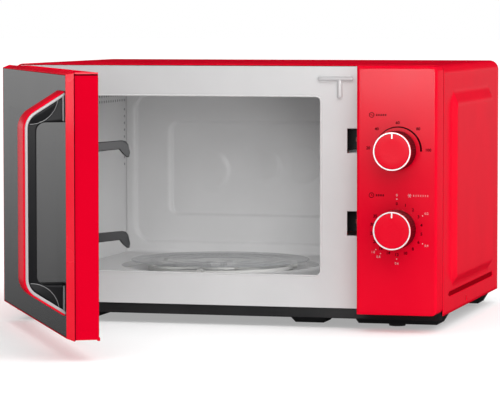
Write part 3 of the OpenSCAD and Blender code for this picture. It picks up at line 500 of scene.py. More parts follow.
def build_case():
    """Sheet case: its open outline carried from front to back, with pressed panels and grooves."""
    r = CASE_R
    tuck = {CASE_Y0: 0.7, CASE_Y0 + 0.25: 0.25, CASE_Y0 + 0.7: 0.05}
    ys = list(tuck) + spaced(CASE_Y0 + 1.2, CASE_Y1, 4.0, FINE_Y)
    zs = spaced(CASE_Z0, CASE_Z1 - r, 3.0, FINE_Z)
    rings = []
    for y in ys:
        t = tuck.get(y, 0)
        side = [(CASE_X - t + (emboss(y, z) - groove(y, z) if t == 0 else 0), z) for z in zs]
        crown = arc(CASE_X - r, CASE_Z1 - r, r - t, 0, 90, 10)[1:]
        half = side + crown
        ring = [(x, y, z) for x, z in half]
        ring += [(-x, y, z) for x, z in reversed(half)]
        rings.append(ring)
    verts, faces = loft(rings, ring_closed=False)
    piece = solid("case_shell", verts, faces, "oven_body", "red_paint", smooth=50)
    # the sunk faces of the groove and slit take the dark red of painted shade
    piece.data.materials.append(FINISH["groove_painted_shade"])
    for p in piece.data.polygons:
        y, z = p.center.y / MM, p.center.z / MM
        sunk = abs(p.center.x) < (CASE_X - 1.0) * MM and z < GROOVE["z"] + GROOVE["r"] * 2
        p.material_index = int(sunk and groove(y, z) > 1.0)
    inner = piece.modifiers.new("sheet", "SOLIDIFY")
    inner.thickness = SHEET * MM
    inner.offset = -1
    inner.use_even_offset = False
    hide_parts("outer_cabinet")


build_case()

# ---------- control panel
def build_panel():
    """Panel moulding with a rounded front edge, and a dark band of painted shade in the joint between it and the
    case.
    """
    x0, x1, z0, z1, y0 = PANEL_X0, CASE_X, panel_lo[2], panel_hi[2], PANEL_Y
    edge, joint, shade_inset = 2.6, 3.2, 0.45
    right_r, left_r = 5.5, 0.9

    def outline(inset):
        xa, xb, za, zb = x0 + inset, x1 - inset, z0 + inset, z1 - inset
        r, q = max(right_r - inset, 2.2), max(left_r - inset, 0.3)
        return (arc(xb - r, za + r, r, -90, 0, 8) + arc(xb - r, zb - r, r, 0, 90, 8)
                + arc(xa + q, zb - q, q, 90, 180, 4) + arc(xa + q, za + q, q, 180, 270, 4))

    def back(x):
        return plate_lo[1] - 0.6 if x < x0 + 6 else CASE_Y0 - joint

    depths = [(2, y0 + 2.5), (2, back), (0, back)] + fillet(edge, y0) + [(edge + 0.8, y0)]
    verts, faces = slab(outline, depths)
    piece = solid("panel_shell", verts, faces, "oven_body", "red_plastic")
    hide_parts("control_panel")
    # near-black band of painted shade filling the gap between the panel and the case
    rings = []
    for y in (CASE_Y0 - joint - 0.2, CASE_Y0 + 0.3):
        rings.append([(max(x, x0 + 3), y, z) for x, z in outline(shade_inset)])
    solid("panel_gap_painted_shade", *loft(rings), "oven_body", "red_plastic", material=FINISH["gap_painted_shade"])


build_panel()

# ---------- dials
def build_dial(name):
    """Dial with a ribbed skirt in a dark red of painted shade, a bright ring and a pointer; returns its centre (x,
    z).
    """
    knob, ring = name + "_knob", name + "_knob_ring"
    lo, hi = box_mm(knob)
    cx, cz = (lo[0] + hi[0]) / 2, (lo[2] + hi[2]) / 2
    y_face, y_back = lo[1], hi[1]
    body = name + "_dial"
    depth = y_back - y_face

    def place(u, v, h):
        return (cx + u, y_face + h, cz + v)

    skirt = [(3.0, depth - 2), (3.0, depth), (18.3, depth), (18.9, depth - 0.5), (18.9, depth - 2.0),
             (18.75, depth - 2.8), (18.65, 6), (18.6, 3.2), (18.6, 1.4), (18.5, 0.6), (18.3, 0.25),
             (18.1, 0.9), (17.1, 0.9), (16.8, 0.35), (16.4, 0.3), (10.0, 0.42), (4.0, 0.5), (0.001, 0.5)]

    def grip(a, k):
        ribs, first, last = 48, 5, 7
        return 0.25 * max(0.0, math.cos(a * ribs)) if first <= k <= last else 0.0

    verts, faces = lathe(skirt, place, 384, grip)
    piece = solid(name + "_dial_skirt", verts, faces, body, "knob_red")
    # faces behind the dial's front take the dark red of painted shade
    piece.data.materials.append(FINISH["knob_side_painted_shade"])
    for p in piece.data.polygons:
        p.material_index = int(p.center.y > (y_face + 1.2) * MM)
    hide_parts(knob)
    bright = [(18.3, 0.9), (18.35, 0.1), (18.15, -0.15), (17.35, -0.15), (17.1, 0.1), (17.05, 0.9)]
    ring_part = lathe(bright, place, 128)
    pointer = rounded(-0.7, 0.7, 12.3, 17.2, 0.45, 4)
    steps = [(0, 0.6), (0, 0.0), (0.3, -0.15)]
    bar = loft([[(cx + x * (1 - i / 1.6), y_face + y, cz + z) for x, z in pointer] for i, y in steps])
    piece = solid(name + "_dial_ring", *join(ring_part, bar), body, "silver_trim",
                  material=FINISH["ring_white"])
    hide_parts(ring)
    return cx, cz


timer_x, timer_z = build_dial("timer")
power_x, power_z = build_dial("power")

# ---------- printed marks on the panel
PRINT_T = 0.05


def plate_prism(points):
    """Thin printed shape on the panel's front, from (x, z) points."""
    return loft([[(x, PANEL_Y - 0.01, z) for x, z in points],
                 [(x, PANEL_Y - PRINT_T, z) for x, z in points]])


def number(text, x, z, size, bold=0.0):
    """Flat digits centred on (x, z)."""
    curve = bpy.data.curves.new("number", "FONT")
    curve.body = text
    curve.size = size
    curve.align_x, curve.align_y = "CENTER", "CENTER"
    curve.resolution_u = 3
    curve.offset = bold
    holder = bpy.data.objects.new("number", curve)
    scene.collection.objects.link(holder)
    bpy.context.view_layer.update()
    mesh = bpy.data.meshes.new_from_object(holder)
    verts = [(x + v.co.x, PANEL_Y - PRINT_T, z + v.co.y) for v in mesh.vertices]
    faces = [list(p.vertices) for p in mesh.polygons]
    bpy.data.objects.remove(holder)
    bpy.data.meshes.remove(mesh)
    return verts, faces


def disc(x, z, r, n=16):
    """Printed dot."""
    return plate_prism([(x + r * math.cos(2 * math.pi * i / n), z + r * math.sin(2 * math.pi * i / n))
                        for i in range(n)])


def around(cx, cz, r, degrees):
    """Point at a clock angle from the top."""
    a = math.radians(90 - degrees)
    return cx + r * math.cos(a), cz + r * math.sin(a)


def band(cx, cz, r, a0, a1, w0, w1, n=48):
    """Arc whose width grows from w0 to w1; angles run clockwise from the top."""
    rings = []
    for i in range(n + 1):
        t = i / n
        w = w0 + (w1 - w0) * t
        p, q = [around(cx, cz, r + half, a0 + (a1 - a0) * t) for half in (w / 2, -w / 2)]
        rings.append([(p[0], PANEL_Y - 0.01, p[1]), (q[0], PANEL_Y - 0.01, q[1]),
                      (q[0], PANEL_Y - PRINT_T, q[1]), (p[0], PANEL_Y - PRINT_T, p[1])])
    return loft(rings)


def stroke(x0, z0, x1, z1, w):
    """Straight printed line of width w."""
    dx, dz = x1 - x0, z1 - z0
    k = w / 2 / math.hypot(dx, dz)
    return plate_prism([(x0 - dz * k, z0 + dx * k), (x1 - dz * k, z1 + dx * k),
                        (x1 + dz * k, z1 - dx * k), (x0 + dz * k, z0 - dx * k)])


def scale_bars(cx, cz, count, pitch, half, w):
    """Row of short upright bars beside a sign."""
    return [stroke(cx + pitch * i, cz - half, cx + pitch * i, cz + half, w) for i in range(count)]


def build_marks():
    """Generic numbers and signs round the two dials."""
    # timer: minutes every 20 degrees, with a few pale weight marks outside them
    minutes = "0 1 2 3 4 5 6 8 10 12 14 16 20 25 30 35".split()
    dark, pale = [], []
    for i, text in enumerate(minutes):
        x, z = around(timer_x, timer_z, 24.6, 20 * i)
        dark.append(number(text, x, z, 4.0, 0.09))
    for degrees, text in ((62, "0.2"), (118, "0.4"), (180, "0.6"), (214, "0.8"), (226, "1.0")):
        x, z = around(timer_x, timer_z, 28.6, degrees)
        pale.append(disc(x, z, 0.55))
        x, z = around(timer_x, timer_z, 33.0 if degrees < 200 else 32.4, degrees)
        pale.append(number(text, x, z, 3.2))
    pale.append(disc(timer_x, timer_z + 29.2, 0.6))
    pale.append(number("0", timer_x, timer_z + 32.8, 3.4))
    # clock sign over the timer, wave sign over the power dial
    cx, cz = PANEL_X0 + 15, timer_z + 32.6
    dark += [band(cx, cz, 2.3, 0, 360, 0.6, 0.6), stroke(cx, cz, cx, cz + 1.5, 0.5),
             stroke(cx, cz, cx + 1.1, cz, 0.5)]
    dark += scale_bars(cx + 5, cz, 4, 2.2, 1.0, 1.1)
    # frost sign and scale bars at the right of the timer
    cx = timer_x + 12.5
    for a in (0, 60, 120):
        dx, dz = 2.0 * math.cos(math.radians(a)), 2.0 * math.sin(math.radians(a))
        pale.append(stroke(cx - dx, cz - dz, cx + dx, cz + dz, 0.4))
    pale += scale_bars(cx + 4, cz, 7, 2.3, 0.9, 0.5)
    # power: a swelling arc with numbers from low to high
    cx, cz = PANEL_X0 + 15, power_z + 34
    dark += [band(cx, cz, 2.3, 0, 360, 0.6, 0.6)]
    wave = [(cx - 1.4 + 0.28 * i, cz + 0.7 * math.sin(i * 0.63)) for i in range(11)]
    dark += [stroke(*wave[i], *wave[i + 1], 0.4) for i in range(10)]
    dark += scale_bars(cx + 5, cz, 5, 2.2, 1.0, 1.1)
    dark.append(band(power_x + 1.0, power_z, 22.6, -82, 92, 0.4, 1.9))
    for degrees, text in ((-86, "20"), (-45, "40"), (0, "60"), (44, "80"), (89, "100")):
        r = {"60": 26.6, "100": 30.0}.get(text, 29.0)
        x, z = around(power_x + 0.6, power_z, r, degrees)
        dark.append(number(text, x, z, 4.0, 0.09))
    solid("panel_marks_dark", *join(*dark), "oven_body", "black_plastic", material=FINISH["ink_dark"])
    solid("panel_marks_pale", *join(*pale), "oven_body", "white_plastic", material=FINISH["ink_pale"])


build_marks()

# ---------- face plate and opening
def build_rib():
    """Half-round T-shaped stiffening rib pressed into the face plate, in a darker grey of painted shade."""
    y = plate_lo[1] + 1.1

    def bead(x0, z0, x1, z1, r):
        dx, dz = x1 - x0, z1 - z0
        length = math.hypot(dx, dz)
        ux, uz = dx / length, dz / length
        rings = []
        for k, lift in ((1.0, 0.0), (0.97, 0.6), (0.82, 1.15), (0.5, 1.5), (0.1, 1.6)):
            q = r * k
            a0 = math.degrees(math.atan2(uz, ux))
            pts = arc(x1, z1, q, a0 - 90, a0 + 90, 12) + arc(x0, z0, q, a0 + 90, a0 + 270, 12)
            rings.append([(px, y - lift, pz) for px, pz in pts])
        return loft(rings)

    bar_z, stem_x = 244.75, 116.6
    parts = join(bead(97.3, bar_z, 128.4, bar_z, 3.0), bead(stem_x, 227.8, stem_x, bar_z - 0.75, 3.05))
    # the rib takes the darker grey of painted shade
    solid("plate_rib", *parts, "oven_body", "grey_paint", smooth=60, material=FINISH["rib_painted_shade"])


build_rib()


def build_opening_rim():
    """Rolled edge round the cavity opening."""
    opening_z0, opening_z1 = 51.3, 227.4
    x0, x1, z0, z1 = cavity_lo[0] + 1, cavity_hi[0] - 1, opening_z0, opening_z1
    y = plate_lo[1] + 1.1
    section = [(-0.9, -0.02), (-0.5, -0.32), (0.1, -0.36), (0.55, -0.05), (0.7, 0.6), (0.7, 3.6),
               (0.1, 3.6), (0.1, 1.0), (-0.9, 0.05)]
    rings = []
    for inset, dy in section:
        rings.append([(x, y + dy, z) for x, z in rounded(x0 + inset, x1 - inset, z0 + inset,
                                                        z1 - inset, max(5 - inset, 0.5))])
    solid("opening_rim", *loft(rings, path_closed=True), "oven_body", "grey_paint", smooth=60)


build_opening_rim()

# ---------- turntable and cavity
PLATE_INSET = 5
PLATE_RINGS = (32, 56, 70, 78)
LUG_ANGLES = (60, 180, 300)


def build_turntable():
    """Pressed glass plate with a rolled rim, shallow rings and three lugs under it."""
    lo, hi = box_mm("glass_turntable")
    cx, cy, r = (lo[0] + hi[0]) / 2, (lo[1] + hi[1]) / 2, (hi[0] - lo[0]) / 2 - PLATE_INSET
    z0 = lo[2]

    def place(u, v, h):
        return (cx + u, cy + v, z0 + h)

    top = [(0.01, 5.0), (30, 5.0)]
    for ring in PLATE_RINGS:
        top += [(ring, 5.0), (ring + 0.8, 5.45), (ring + 1.6, 5.45), (ring + 2.4, 5.0)]
    top += [(r - 11, 5.0), (r - 8, 5.4), (r - 3, 6.2), (r - 1.2, 6.5), (r - 0.3, 6.2), (r, 5.7)]
    under = [(r - 0.1, 5.2), (r - 2, 4.7), (r - 8, 3.8), (r - 12, 3.5), (0.01, 3.5)]
    verts, faces = lathe(top + under, place, 144)
    piece = solid("turntable_plate", verts, faces, "turntable", "clear_glass", smooth=50)
    lugs = []
    for a in LUG_ANGLES:
        c, k = math.cos(math.radians(a)), math.sin(math.radians(a))
        outline = rounded(9.0, 15.0, -3.2, 3.2, 0.8, 4)
        lugs.append(loft([[(cx + u * c - v * k, cy + u * k + v * c, z0 + h) for u, v in outline]
                          for h in (0.05, 3.5)]))
    lug = solid("turntable_lugs", *join(*lugs), "turntable", "clear_glass")
    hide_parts("glass_turntable")
    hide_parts("glass_turntable")


build_turntable()

VENT_R = 1.55
# the dark discs of painted shade repeat the holes of cavity_wrapper: first hole and pitch of each row
VENT_TOP_Y, VENT_TOP_PITCH, VENT_TOP_COUNT = 178, 8, 16
VENT_TOP_Z, VENT_ROW_GAP, VENT_ROWS = 214, 6, 2
VENT_REAR_Y, VENT_REAR_Z, VENT_REAR_PITCH, VENT_REAR_COUNT = 298, 144, 7.5, 9


def build_vents():
    """Dark discs of painted shade that close the steam holes at the top and rear of the left wall, standing in for
    the shade seen through them.
    """
    x = cavity_lo[0]
    places = [(VENT_TOP_Y + VENT_TOP_PITCH * i, VENT_TOP_Z + VENT_ROW_GAP * row)
              for i in range(VENT_TOP_COUNT) for row in range(VENT_ROWS)]
    places += [(VENT_REAR_Y, VENT_REAR_Z + VENT_REAR_PITCH * i) for i in range(VENT_REAR_COUNT)]
    discs = []
    for y, z in places:
        rings = []
        for dx, r in ((0.15, VENT_R), (0.72, VENT_R), (0.78, VENT_R * 0.6)):
            rings.append([(x + dx, py, pz) for py, pz in arc(y, z, r, 0, 337.5, 15)])
        discs.append(loft(rings))
    # the discs are painted shade in the holes
    solid("steam_vent_painted_shade", *join(*discs), "oven_body", "black_paint")


build_vents()

# bosses of the rear wall: x, z and radius; and the depth of each pressed step
BUMPS = ((-95, 137, 22), (-32, 142, 17), (8, 146, 22))
STEP = 2.95


def step_in(x, z, box, corner, run):
    """0 outside a rounded rectangle, 1 inside it, with a smooth wall of the given run."""
    x0, x1, z0, z1 = box
    dx = max(x0 + corner - x, x - x1 + corner, 0)
    dz = max(z0 + corner - z, z - z1 + corner, 0)
    inside = min(x - x0, x1 - x, z - z0, z1 - z)
    if dx > 0 and dz > 0:
        inside = corner - math.hypot(dx, dz)
    return knee(inside / run)


def build_cavity_back():
    """Rear wall of the cavity: two pressed steps and three bosses that rise to the right."""
    lo, hi = box_mm("cavity_back")
    mid = (cavity_lo[0] + cavity_hi[0]) / 2
    outer = (mid - 133.5, mid + 133.5, 58, 222)
    inner = (mid - 94, mid + 94, 88, 192)

    def depth(x, z):
        d = STEP * (step_in(x, z, outer, 18, 2.4) + step_in(x, z, inner, 10, 2.4))
        for bx, bz, r in BUMPS:
            rise = knee((r - math.hypot(x - bx, z - bz)) / 3.5)
            d -= 2.3 * rise * max(0.0, 0.35 + 0.65 * (x - bx) / r)
        return d

    xs = spaced(lo[0], hi[0], 3.0, [(outer[0] - 2, outer[0] + 22, 0.8), (inner[0] - 2, inner[0] + 14, 0.8),
                                    (-80, -70, 1.0), (-22, 34, 1.0), (80, hi[0], 1.2)])
    zs = spaced(lo[2], hi[2], 3.0, [(56, 66, 0.9), (86, 94, 0.9), (116, 170, 1.4), (186, 224, 0.9)])
    rings = [[(x, lo[1] + 0.05 + depth(x, z), z) for z in zs] for x in xs]
    piece = solid("cavity_back_wall", *loft(rings, ring_closed=False), "oven_body", "grey_paint",
                  smooth=60)
    inner_face = piece.modifiers.new("sheet", "SOLIDIFY")
    inner_face.thickness = 0.8 * MM
    inner_face.offset = 1 if piece.data.polygons[0].normal.y > 0 else -1
    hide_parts("cavity_back")


build_cavity_back()

# ---------- door
BEZEL_DEPTH = 7.0


def edge_sweep(section):
    """Closed (inset, y) section carried along the door's edge, clear of the hinges at the left."""
    start_x = DOOR_X0 + 30
    lines = []
    for inset, y in section:
        x1, z0, z1, r = DOOR_X1 - inset, DOOR_Z0 + inset, DOOR_Z1 - inset, max(1.6 - inset, 0.3)
        line = ([(start_x, z0)] + arc(x1 - r, z0 + r, r, -90, 0, 4) + arc(x1 - r, z1 - r, r, 0, 90, 4)
                + [(start_x, z1)])
        lines.append([(x, y, z) for x, z in line])
    return loft(list(zip(*lines)))


def side_bar(x, side, inset, drop0, drop1, y_start, y_end):
    """Bar along a side of the door, between two drops from near its top."""
    top, root = DOOR_Z1 - 1.0, 1.1
    corner = [(x - side * root, top - drop0), (x - side * inset, top - drop0),
              (x - side * inset, top - drop1), (x - side * root, top - drop1)]
    return loft([[(px, y, pz) for px, pz in corner] for y in (y_start, y_end)])


def build_door_edge():
    """Dark line of painted shade in the joint behind the sloping bezel, and the lip that carries on over the
    door's sides, with painted shade under it.
    """
    y0 = DOOR_Y0 + BEZEL_DEPTH
    # near-black line of painted shade in the step behind the bezel
    section = [(0.25, y0 + 0.05), (0.25, y0 + 0.75), (1.3, y0 + 0.85), (1.3, y0 + 0.05)]
    solid("door_bezel_painted_shade", *edge_sweep(section), "door", "red_plastic", material=FINISH["gap_painted_shade"])
    face = [(2.5, DOOR_Y0 + 0.05), (0.0, y0 - 0.05), (0.6, y0 - 0.05), (3.1, DOOR_Y0 + 0.05)]
    solid("door_bezel_strip", *edge_sweep(face), "door", "red_plastic", material=FINISH["bezel_red"])
    lips, shades = [], []
    for side, x in ((1, DOOR_X1), (-1, DOOR_X0)):
        y_start = y0 + 0.8 if side > 0 else y0 + 4.0
        lips.append(side_bar(x, side, 0.1, -0.2, 1.3, y_start, DOOR_Y1 - 1.2))
        shades.append(side_bar(x, side, 0.85, 1.3, 2.6, y_start, DOOR_Y1 - 1.4))
    solid("door_side_lips", *join(*lips), "door", "red_plastic")
    # near-black strips of painted shade under the lips
    solid("door_side_lip_painted_shade", *join(*shades), "door", "red_plastic", material=FINISH["gap_painted_shade"])


build_door_edge()


def build_door_glass():
    """Front glass of the door with rounded edges, inside the bezel."""
    g = 3.35
    x0, x1, z0, z1 = DOOR_X0 + g, DOOR_X1 - g, DOOR_Z0 + g, DOOR_Z1 - g
    y0, y1 = DOOR_Y0 + 0.1, DOOR_Y0 + 3.1

    def outline(inset):
        return rounded(x0 + inset, x1 - inset, z0 + inset, z1 - inset, 1.2, 4)

    depths = [(0.4, y1), (0, y1 - 0.4), (0, y0 + 0.4), (0.12, y0 + 0.12), (0.4, y0), (1.0, y0)]
    piece = solid("door_front_glass", *slab(outline, depths), "door", "tinted_glass")
    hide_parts("door_glass")


build_door_glass()

# ---------- handle
BAR_X0, BAR_X1 = 99.0, 131.0
BAR_Y = -47.5
LEG_TOP, LEG_LOW = 238.8, 41.6
MID_Z = (LEG_TOP + LEG_LOW) / 2
BEND_R = 18.0
LEG_SLOPE = math.atan2(23.0, 14.4)
# crowned leaf on the side of each leg: centre (y, z) and radius, and how far the side sets back
LEAF = (-42.3, 236.2, 25.3)
LEAF_BACK = 2.8
# finger gap between bar and door
GAP_Y, GAP_TOP, GAP_LOW, GAP_R = BAR_Y + 10.9, 212.4, 68.0, 8.0
# how far under the outer line the grip starts, below the cover and the silver band
GRIP_INSET = 2.55


def handle_path(samples=14):
    """Outer line of the handle from the door over the bar and back: (y, z, normal y, normal z, zone)."""
    corner_z = LEG_TOP - (DOOR_Y0 - BAR_Y) / math.tan(LEG_SLOPE)
    reach = BEND_R * math.tan(LEG_SLOPE / 2)
    ly, lz = -math.sin(LEG_SLOPE), -math.cos(LEG_SLOPE)
    start_y, start_z = BAR_Y - ly * reach, corner_z - lz * reach
    half = []
    for i in range(samples):
        t = i / samples
        half.append((DOOR_Y0 + (start_y - DOOR_Y0) * t, LEG_TOP + (start_z - LEG_TOP) * t, lz, -ly, t * 0.5))
    cy, cz = BAR_Y + BEND_R, corner_z - reach
    for i in range(samples + 1):
        t = i / samples
        a = math.pi - (math.pi / 2 - (math.pi / 2 - LEG_SLOPE)) * (1 - t)
        half.append((cy + BEND_R * math.cos(a), cz + BEND_R * math.sin(a), math.cos(a), math.sin(a),
                     0.5 + 0.3 * t))
    top_z = half[-1][1]
    for i in range(1, 5):
        half.append((BAR_Y, top_z + (MID_Z - top_z) * i / 5, -1.0, 0.0, 0.8 + 0.2 * i / 5))
    middle = [(BAR_Y, MID_Z, -1.0, 0.0, 1.0)]
    low = [(y, 2 * MID_Z - z, ny, -nz, zone) for y, z, ny, nz, zone in reversed(half)]
    return half + middle + low


def sweep_band(path, section):
    """section is a list of (inset, x); the ring follows the handle's line."""
    rings = []
    for y, z, ny, nz, _zone in path:
        rings.append([(x, min(y - ny * inset, DOOR_Y0), z - nz * inset) for inset, x in section])
    return loft(rings)


def scoop(y, z):
    """Set-back of a handle's side face: full on the rim, less on the crowned leaf of each leg."""
    zz = z if z > MID_Z else 2 * MID_Z - z
    d = math.hypot(y - LEAF[0], zz - LEAF[1])
    return LEAF_BACK * min(1.0, (d / LEAF[2]) ** 2)


def gap_point(z, zone):
    """Point (y, z) of the finger gap's line that faces a point of the outer line."""
    upper = z >= MID_Z
    top = GAP_TOP if upper else 2 * MID_Z - GAP_LOW
    if zone <= 0.5:
        t = zone / 0.5
        p = (DOOR_Y0 + (GAP_Y + GAP_R - DOOR_Y0) * t, top)
    elif zone <= 0.8:
        a = math.radians(90 + 90 * (zone - 0.5) / 0.3)
        p = (GAP_Y + GAP_R + GAP_R * math.cos(a), top - GAP_R + GAP_R * math.sin(a))
    else:
        t = (zone - 0.8) / 0.2
        p = (GAP_Y, (top - GAP_R) + (MID_Z - top + GAP_R) * t)
    return p if upper else (p[0], 2 * MID_Z - p[1])


def build_handle_bands(path):
    """Red front cover and the silver band under it."""
    x0, x1 = BAR_X0, BAR_X1
    cover = [(0.0, x1 - 0.2), (-0.9, x1), (-1.4, x1 - 0.4), (-1.6, x1 - 1.6), (-1.6, x0 + 1.6),
             (-1.4, x0 + 0.4), (-0.9, x0), (0.0, x0 + 0.2)]
    piece = solid("handle_front_cover", *sweep_band(path, cover), "door", "red_plastic", smooth=50)
    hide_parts("handle_cover")
    silver = [(0.05, x1 + 0.1), (0.35, x1 + 0.4), (2.2, x1 + 0.4), (2.5, x1 + 0.1), (2.5, x0 + 0.6),
              (2.2, x0 + 0.3), (0.35, x0 + 0.3), (0.05, x0 + 0.6)]
    piece = solid("handle_silver_band", *sweep_band(path, silver), "door", "silver_trim", smooth=50)
    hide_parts("handle_trim")


def build_handle_grip(path):
    """Dark grip: outer line under the silver, inner line round the finger gap."""
    x0, x1 = BAR_X0, BAR_X1
    rings = []
    for y, z, ny, nz, zone in path:
        iy, iz = gap_point(z, zone)
        oy, oz = min(y - ny * GRIP_INSET, DOOR_Y0), z - nz * GRIP_INSET
        width = math.hypot(iy - oy, iz - oz)
        stations = [0.0, 0.35, 0.9] + [0.9 + (width - 1.8) * k / 9 for k in range(1, 9)]
        stations += [width - 0.9, width - 0.35, width]
        lifts = [0.9, 0.3, 0.0] + [0.0] * 8 + [0.0, 0.3, 0.9]
        side = [(lift, oy + (iy - oy) * d / width, oz + (iz - oz) * d / width)
                for d, lift in zip(stations, lifts)]
        ring = [(x1 - lift - scoop(py, pz), py, pz) for lift, py, pz in side]
        ring += [(x0 + 0.6 + lift, py, pz) for lift, py, pz in reversed(side)]
        rings.append(ring)
    grip = solid("handle_grip", *loft(rings), "door", "black_plastic", smooth=50)
    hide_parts("handle_body")


def build_handle_edges():
    """Line of painted highlight round each leaf, and a tab of painted highlight where each leg meets the door."""
    tab_z, tab_shape = 84.0, ((-12.4, -11.0), (-13.5, -10.4), (-13.7, 11.0), (-12.4, 11.6))
    first, last, steps = -4, -91, 24
    beads = []
    for sign in (1, -1):
        cy, cz, r = LEAF[0], MID_Z + sign * (LEAF[1] - MID_Z), LEAF[2]
        pts = []
        for i in range(steps + 1):
            a = math.radians(first + (last - first) * i / steps)
            pts.append((BAR_X1 - LEAF_BACK, cy + r * math.cos(a), cz + sign * r * math.sin(a)))
        beads.append(tube(pts, 0.33, 6))
        tab = [(y, MID_Z + sign * tab_z + sign * dz) for y, dz in tab_shape]
        beads.append(loft([[(x, y, z) for y, z in tab] for x in (BAR_X1 - 3.4, BAR_X1 + 0.1)]))
    # the leaf lines and tabs take the paler grey of painted highlight
    solid("handle_scoop_edges", *join(*beads), "door", "silver_trim", material=FINISH["leaf_edge_painted_highlight"])


def build_handle():
    """The handle's three layers and the lines on its side."""
    path = handle_path()
    build_handle_bands(path)
    build_handle_grip(path)
    build_handle_edges()


build_handle()

# ---------- soft edges
for name, width in (("base_plate", 0.6), ("rear_cover", 0.4), ("door_frame", 0.5),
                    ("choke_cover", 0.6), ("latch_pawl", 0.6),
                    ("rubber_feet", 0.4), ("hinge_brackets", 0.3), ("interlock_bracket", 0.4),
                    ("door_switches", 0.5), ("cable_gland", 0.5), ("fan_shroud", 0.4)):
    soften(name, width)

# ---------- floor and light
SKY = 0.62
# what gloss sees of the studio: grey levels from left to right, and from below to above
GLOSS_ACROSS = [(-1.0, 0.92), (-0.72, 0.92), (-0.56, 0.42), (-0.36, 0.0), (-0.08, 0.0),
                (0.10, 0.2), (0.34, 0.2), (0.5, 0.03), (0.75, 0.03), (0.9, 0.6), (1.0, 0.6)]
GLOSS_HEIGHT = [(-1.0, 0.04), (-0.2, 0.04), (-0.11, 0.18), (0.0, 1.0), (0.05, 1.0), (0.10, 0.1), (1.0, 0.1)]
# soft box in front of the oven: its upright edge and sides in metres, its levels by height
CARD_X0, CARD_X1, CARD_TOP, CARD_AWAY = -0.01, 0.35, 0.31, 0.6
CARD_HEIGHT = [(0.0, 0.0), (0.125, 0.0), (0.18, 0.14), (0.22, 0.5), (0.26, 1.0), (CARD_TOP, 1.0)]
CARD_LEVEL = 38


def flat_sheet(name, corners, material):
    """Staging sheet with four corners."""
    mesh = bpy.data.meshes.new(name)
    mesh.from_pydata(corners, [], [[0, 1, 2, 3]])
    mesh.materials.append(material)
    piece = bpy.data.objects.new(name, mesh)
    scene.collection.objects.link(piece)
    return piece


def build_floor():
    """Pale floor with a little glow of its own, so that it meets the white background."""
    size = 30.0
    material = surface("pale_floor", (0.62, 0.62, 0.62), 0.8, spec=0.2, tint=0.01, patch=1.5,
                       grain=300, depth=0.01)
    shader = material.node_tree.nodes["Principled BSDF"]
    shader.inputs["Emission Color"].default_value = (1, 1, 1, 1)
    shader.inputs["Emission Strength"].default_value = 0.36
    material.cycles.emission_sampling = "NONE"
    floor = flat_sheet("floor", [(-size, -size, 0), (size, -size, 0), (size, size, 0), (-size, size, 0)],
                       material)
    floor.visible_glossy = False


def ramp(tree, value, stops, lo=-1.0, hi=1.0):
    """Grey levels at stops of (value, level), linear between them."""
    spread = node(tree, "ShaderNodeMapRange", From_Min=lo, From_Max=hi)
    tree.links.new(value, spread.inputs["Value"])
    table = tree.nodes.new("ShaderNodeValToRGB")
    places = [(at - lo) / (hi - lo) for at, _level in stops]
    elements = table.color_ramp.elements
    elements[0].position, elements[1].position = places[0], places[-1]
    for place in places[1:-1]:
        elements.new(place)
    for element, (_at, level) in zip(elements, stops):
        element.color = (level, level, level, 1)
    tree.links.new(spread.outputs["Result"], table.inputs["Fac"])
    return table.outputs["Color"]


def build_world():
    """White surroundings for light; gloss sees a dim studio with paler sides."""
    world = bpy.data.worlds.new("studio")
    scene.world = world
    world.use_nodes = True
    world.cycles.sampling_method = "NONE"
    tree = world.node_tree
    seen = tree.nodes["Background"]
    seen.inputs["Color"].default_value = (1, 1, 1, 1)
    path = tree.nodes.new("ShaderNodeLightPath")
    level = node(tree, "ShaderNodeMapRange", To_Min=SKY, To_Max=1.0)
    tree.links.new(path.outputs["Is Camera Ray"], level.inputs["Value"])
    tree.links.new(level.outputs["Result"], seen.inputs["Strength"])
    coords = tree.nodes.new("ShaderNodeTexCoord")
    split = tree.nodes.new("ShaderNodeSeparateXYZ")
    tree.links.new(coords.outputs["Generated"], split.inputs["Vector"])
    across = ramp(tree, split.outputs["X"], GLOSS_ACROSS)
    height = ramp(tree, split.outputs["Z"], GLOSS_HEIGHT)
    both = node(tree, "ShaderNodeMix", data_type="RGBA", blend_type="MULTIPLY", Factor=1.0)
    tree.links.new(across, both.inputs["A"])
    tree.links.new(height, both.inputs["B"])
    gloss = tree.nodes.new("ShaderNodeBackground")
    tree.links.new(both.outputs["Result"], gloss.inputs["Color"])
    pick = tree.nodes.new("ShaderNodeMixShader")
    tree.links.new(path.outputs["Is Glossy Ray"], pick.inputs["Fac"])
    tree.links.new(seen.outputs["Background"], pick.inputs[1])
    tree.links.new(gloss.outputs["Background"], pick.inputs[2])
    tree.links.new(pick.outputs["Shader"], tree.nodes["World Output"].inputs["Surface"])


def aim(lamp, location, target):
    """Place a lamp and point it; it is seen neither by the camera nor in gloss."""
    lamp.location = location
    lamp.rotation_mode = "QUATERNION"
    lamp.rotation_quaternion = (Vector(target) - Vector(location)).to_track_quat("-Z", "Y")
    scene.collection.objects.link(lamp)
    lamp.visible_glossy = False
    lamp.visible_camera = False


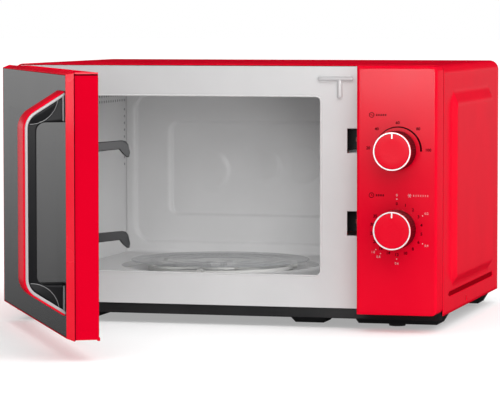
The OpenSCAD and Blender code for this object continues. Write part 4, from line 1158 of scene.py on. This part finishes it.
def soft_sun(name, direction, strength, spread):
    """Wide sun that shines from a direction."""
    data = bpy.data.lights.new(name, "SUN")
    data.energy = strength
    data.angle = math.radians(spread)
    aim(bpy.data.objects.new(name, data), direction, (0, 0, 0))


def area_light(name, location, target, size, power, spread):
    """Rectangular lamp with a limited cone."""
    data = bpy.data.lights.new(name, "AREA")
    data.shape = "RECTANGLE"
    data.size, data.size_y = size
    data.energy = power
    data.spread = math.radians(spread)
    aim(bpy.data.objects.new(name, data), location, target)


def reflection_card():
    """Soft box that only gloss sees: it brightens the upper part of the front."""
    m, tree = start("softbox_cloth")[:2]
    coords = tree.nodes.new("ShaderNodeTexCoord")
    split = tree.nodes.new("ShaderNodeSeparateXYZ")
    tree.links.new(coords.outputs["Object"], split.inputs["Vector"])
    level = ramp(tree, split.outputs["Z"], CARD_HEIGHT, 0.0, CARD_TOP)
    glow = tree.nodes.new("ShaderNodeEmission")
    glow.inputs["Strength"].default_value = CARD_LEVEL
    tree.links.new(level, glow.inputs["Color"])
    tree.links.new(glow.outputs["Emission"], tree.nodes["Material Output"].inputs["Surface"])
    y = PANEL_Y * MM - CARD_AWAY
    corners = [(CARD_X0, y, 0.0), (CARD_X1, y, 0.0), (CARD_X1, y, CARD_TOP), (CARD_X0, y, CARD_TOP)]
    card = flat_sheet("reflection_card", corners, m)
    card.visible_camera = card.visible_diffuse = card.visible_shadow = False
    card.visible_transmission = card.visible_volume_scatter = False


build_floor()
build_world()
reflection_card()
soft_sun("overhead_light", (0.3, -0.2, 1.0), 1.9, 75)
soft_sun("side_light", (1.0, -0.1, 0.35), 0.8, 60)
soft_sun("key_light", (0.3, -1.0, 0.5), 0.56, 45)
area_light("cavity_light", (0.085, 0.06, 0.150), (-0.12, 0.28, 0.04), (0.05, 0.05), 0.125, 82)


def build_camera():
    """Camera placed and aimed like the photograph's."""
    data = bpy.data.cameras.new("camera")
    data.sensor_width = 36
    data.lens = 211.53
    data.clip_end = 100
    camera = bpy.data.objects.new("camera", data)
    camera.location = (0.76864, -2.77556, 0.30890)
    camera.rotation_euler = (math.radians(90 - 3.64), math.radians(0.03), math.radians(14.87))
    scene.collection.objects.link(camera)
    scene.camera = camera


build_camera()
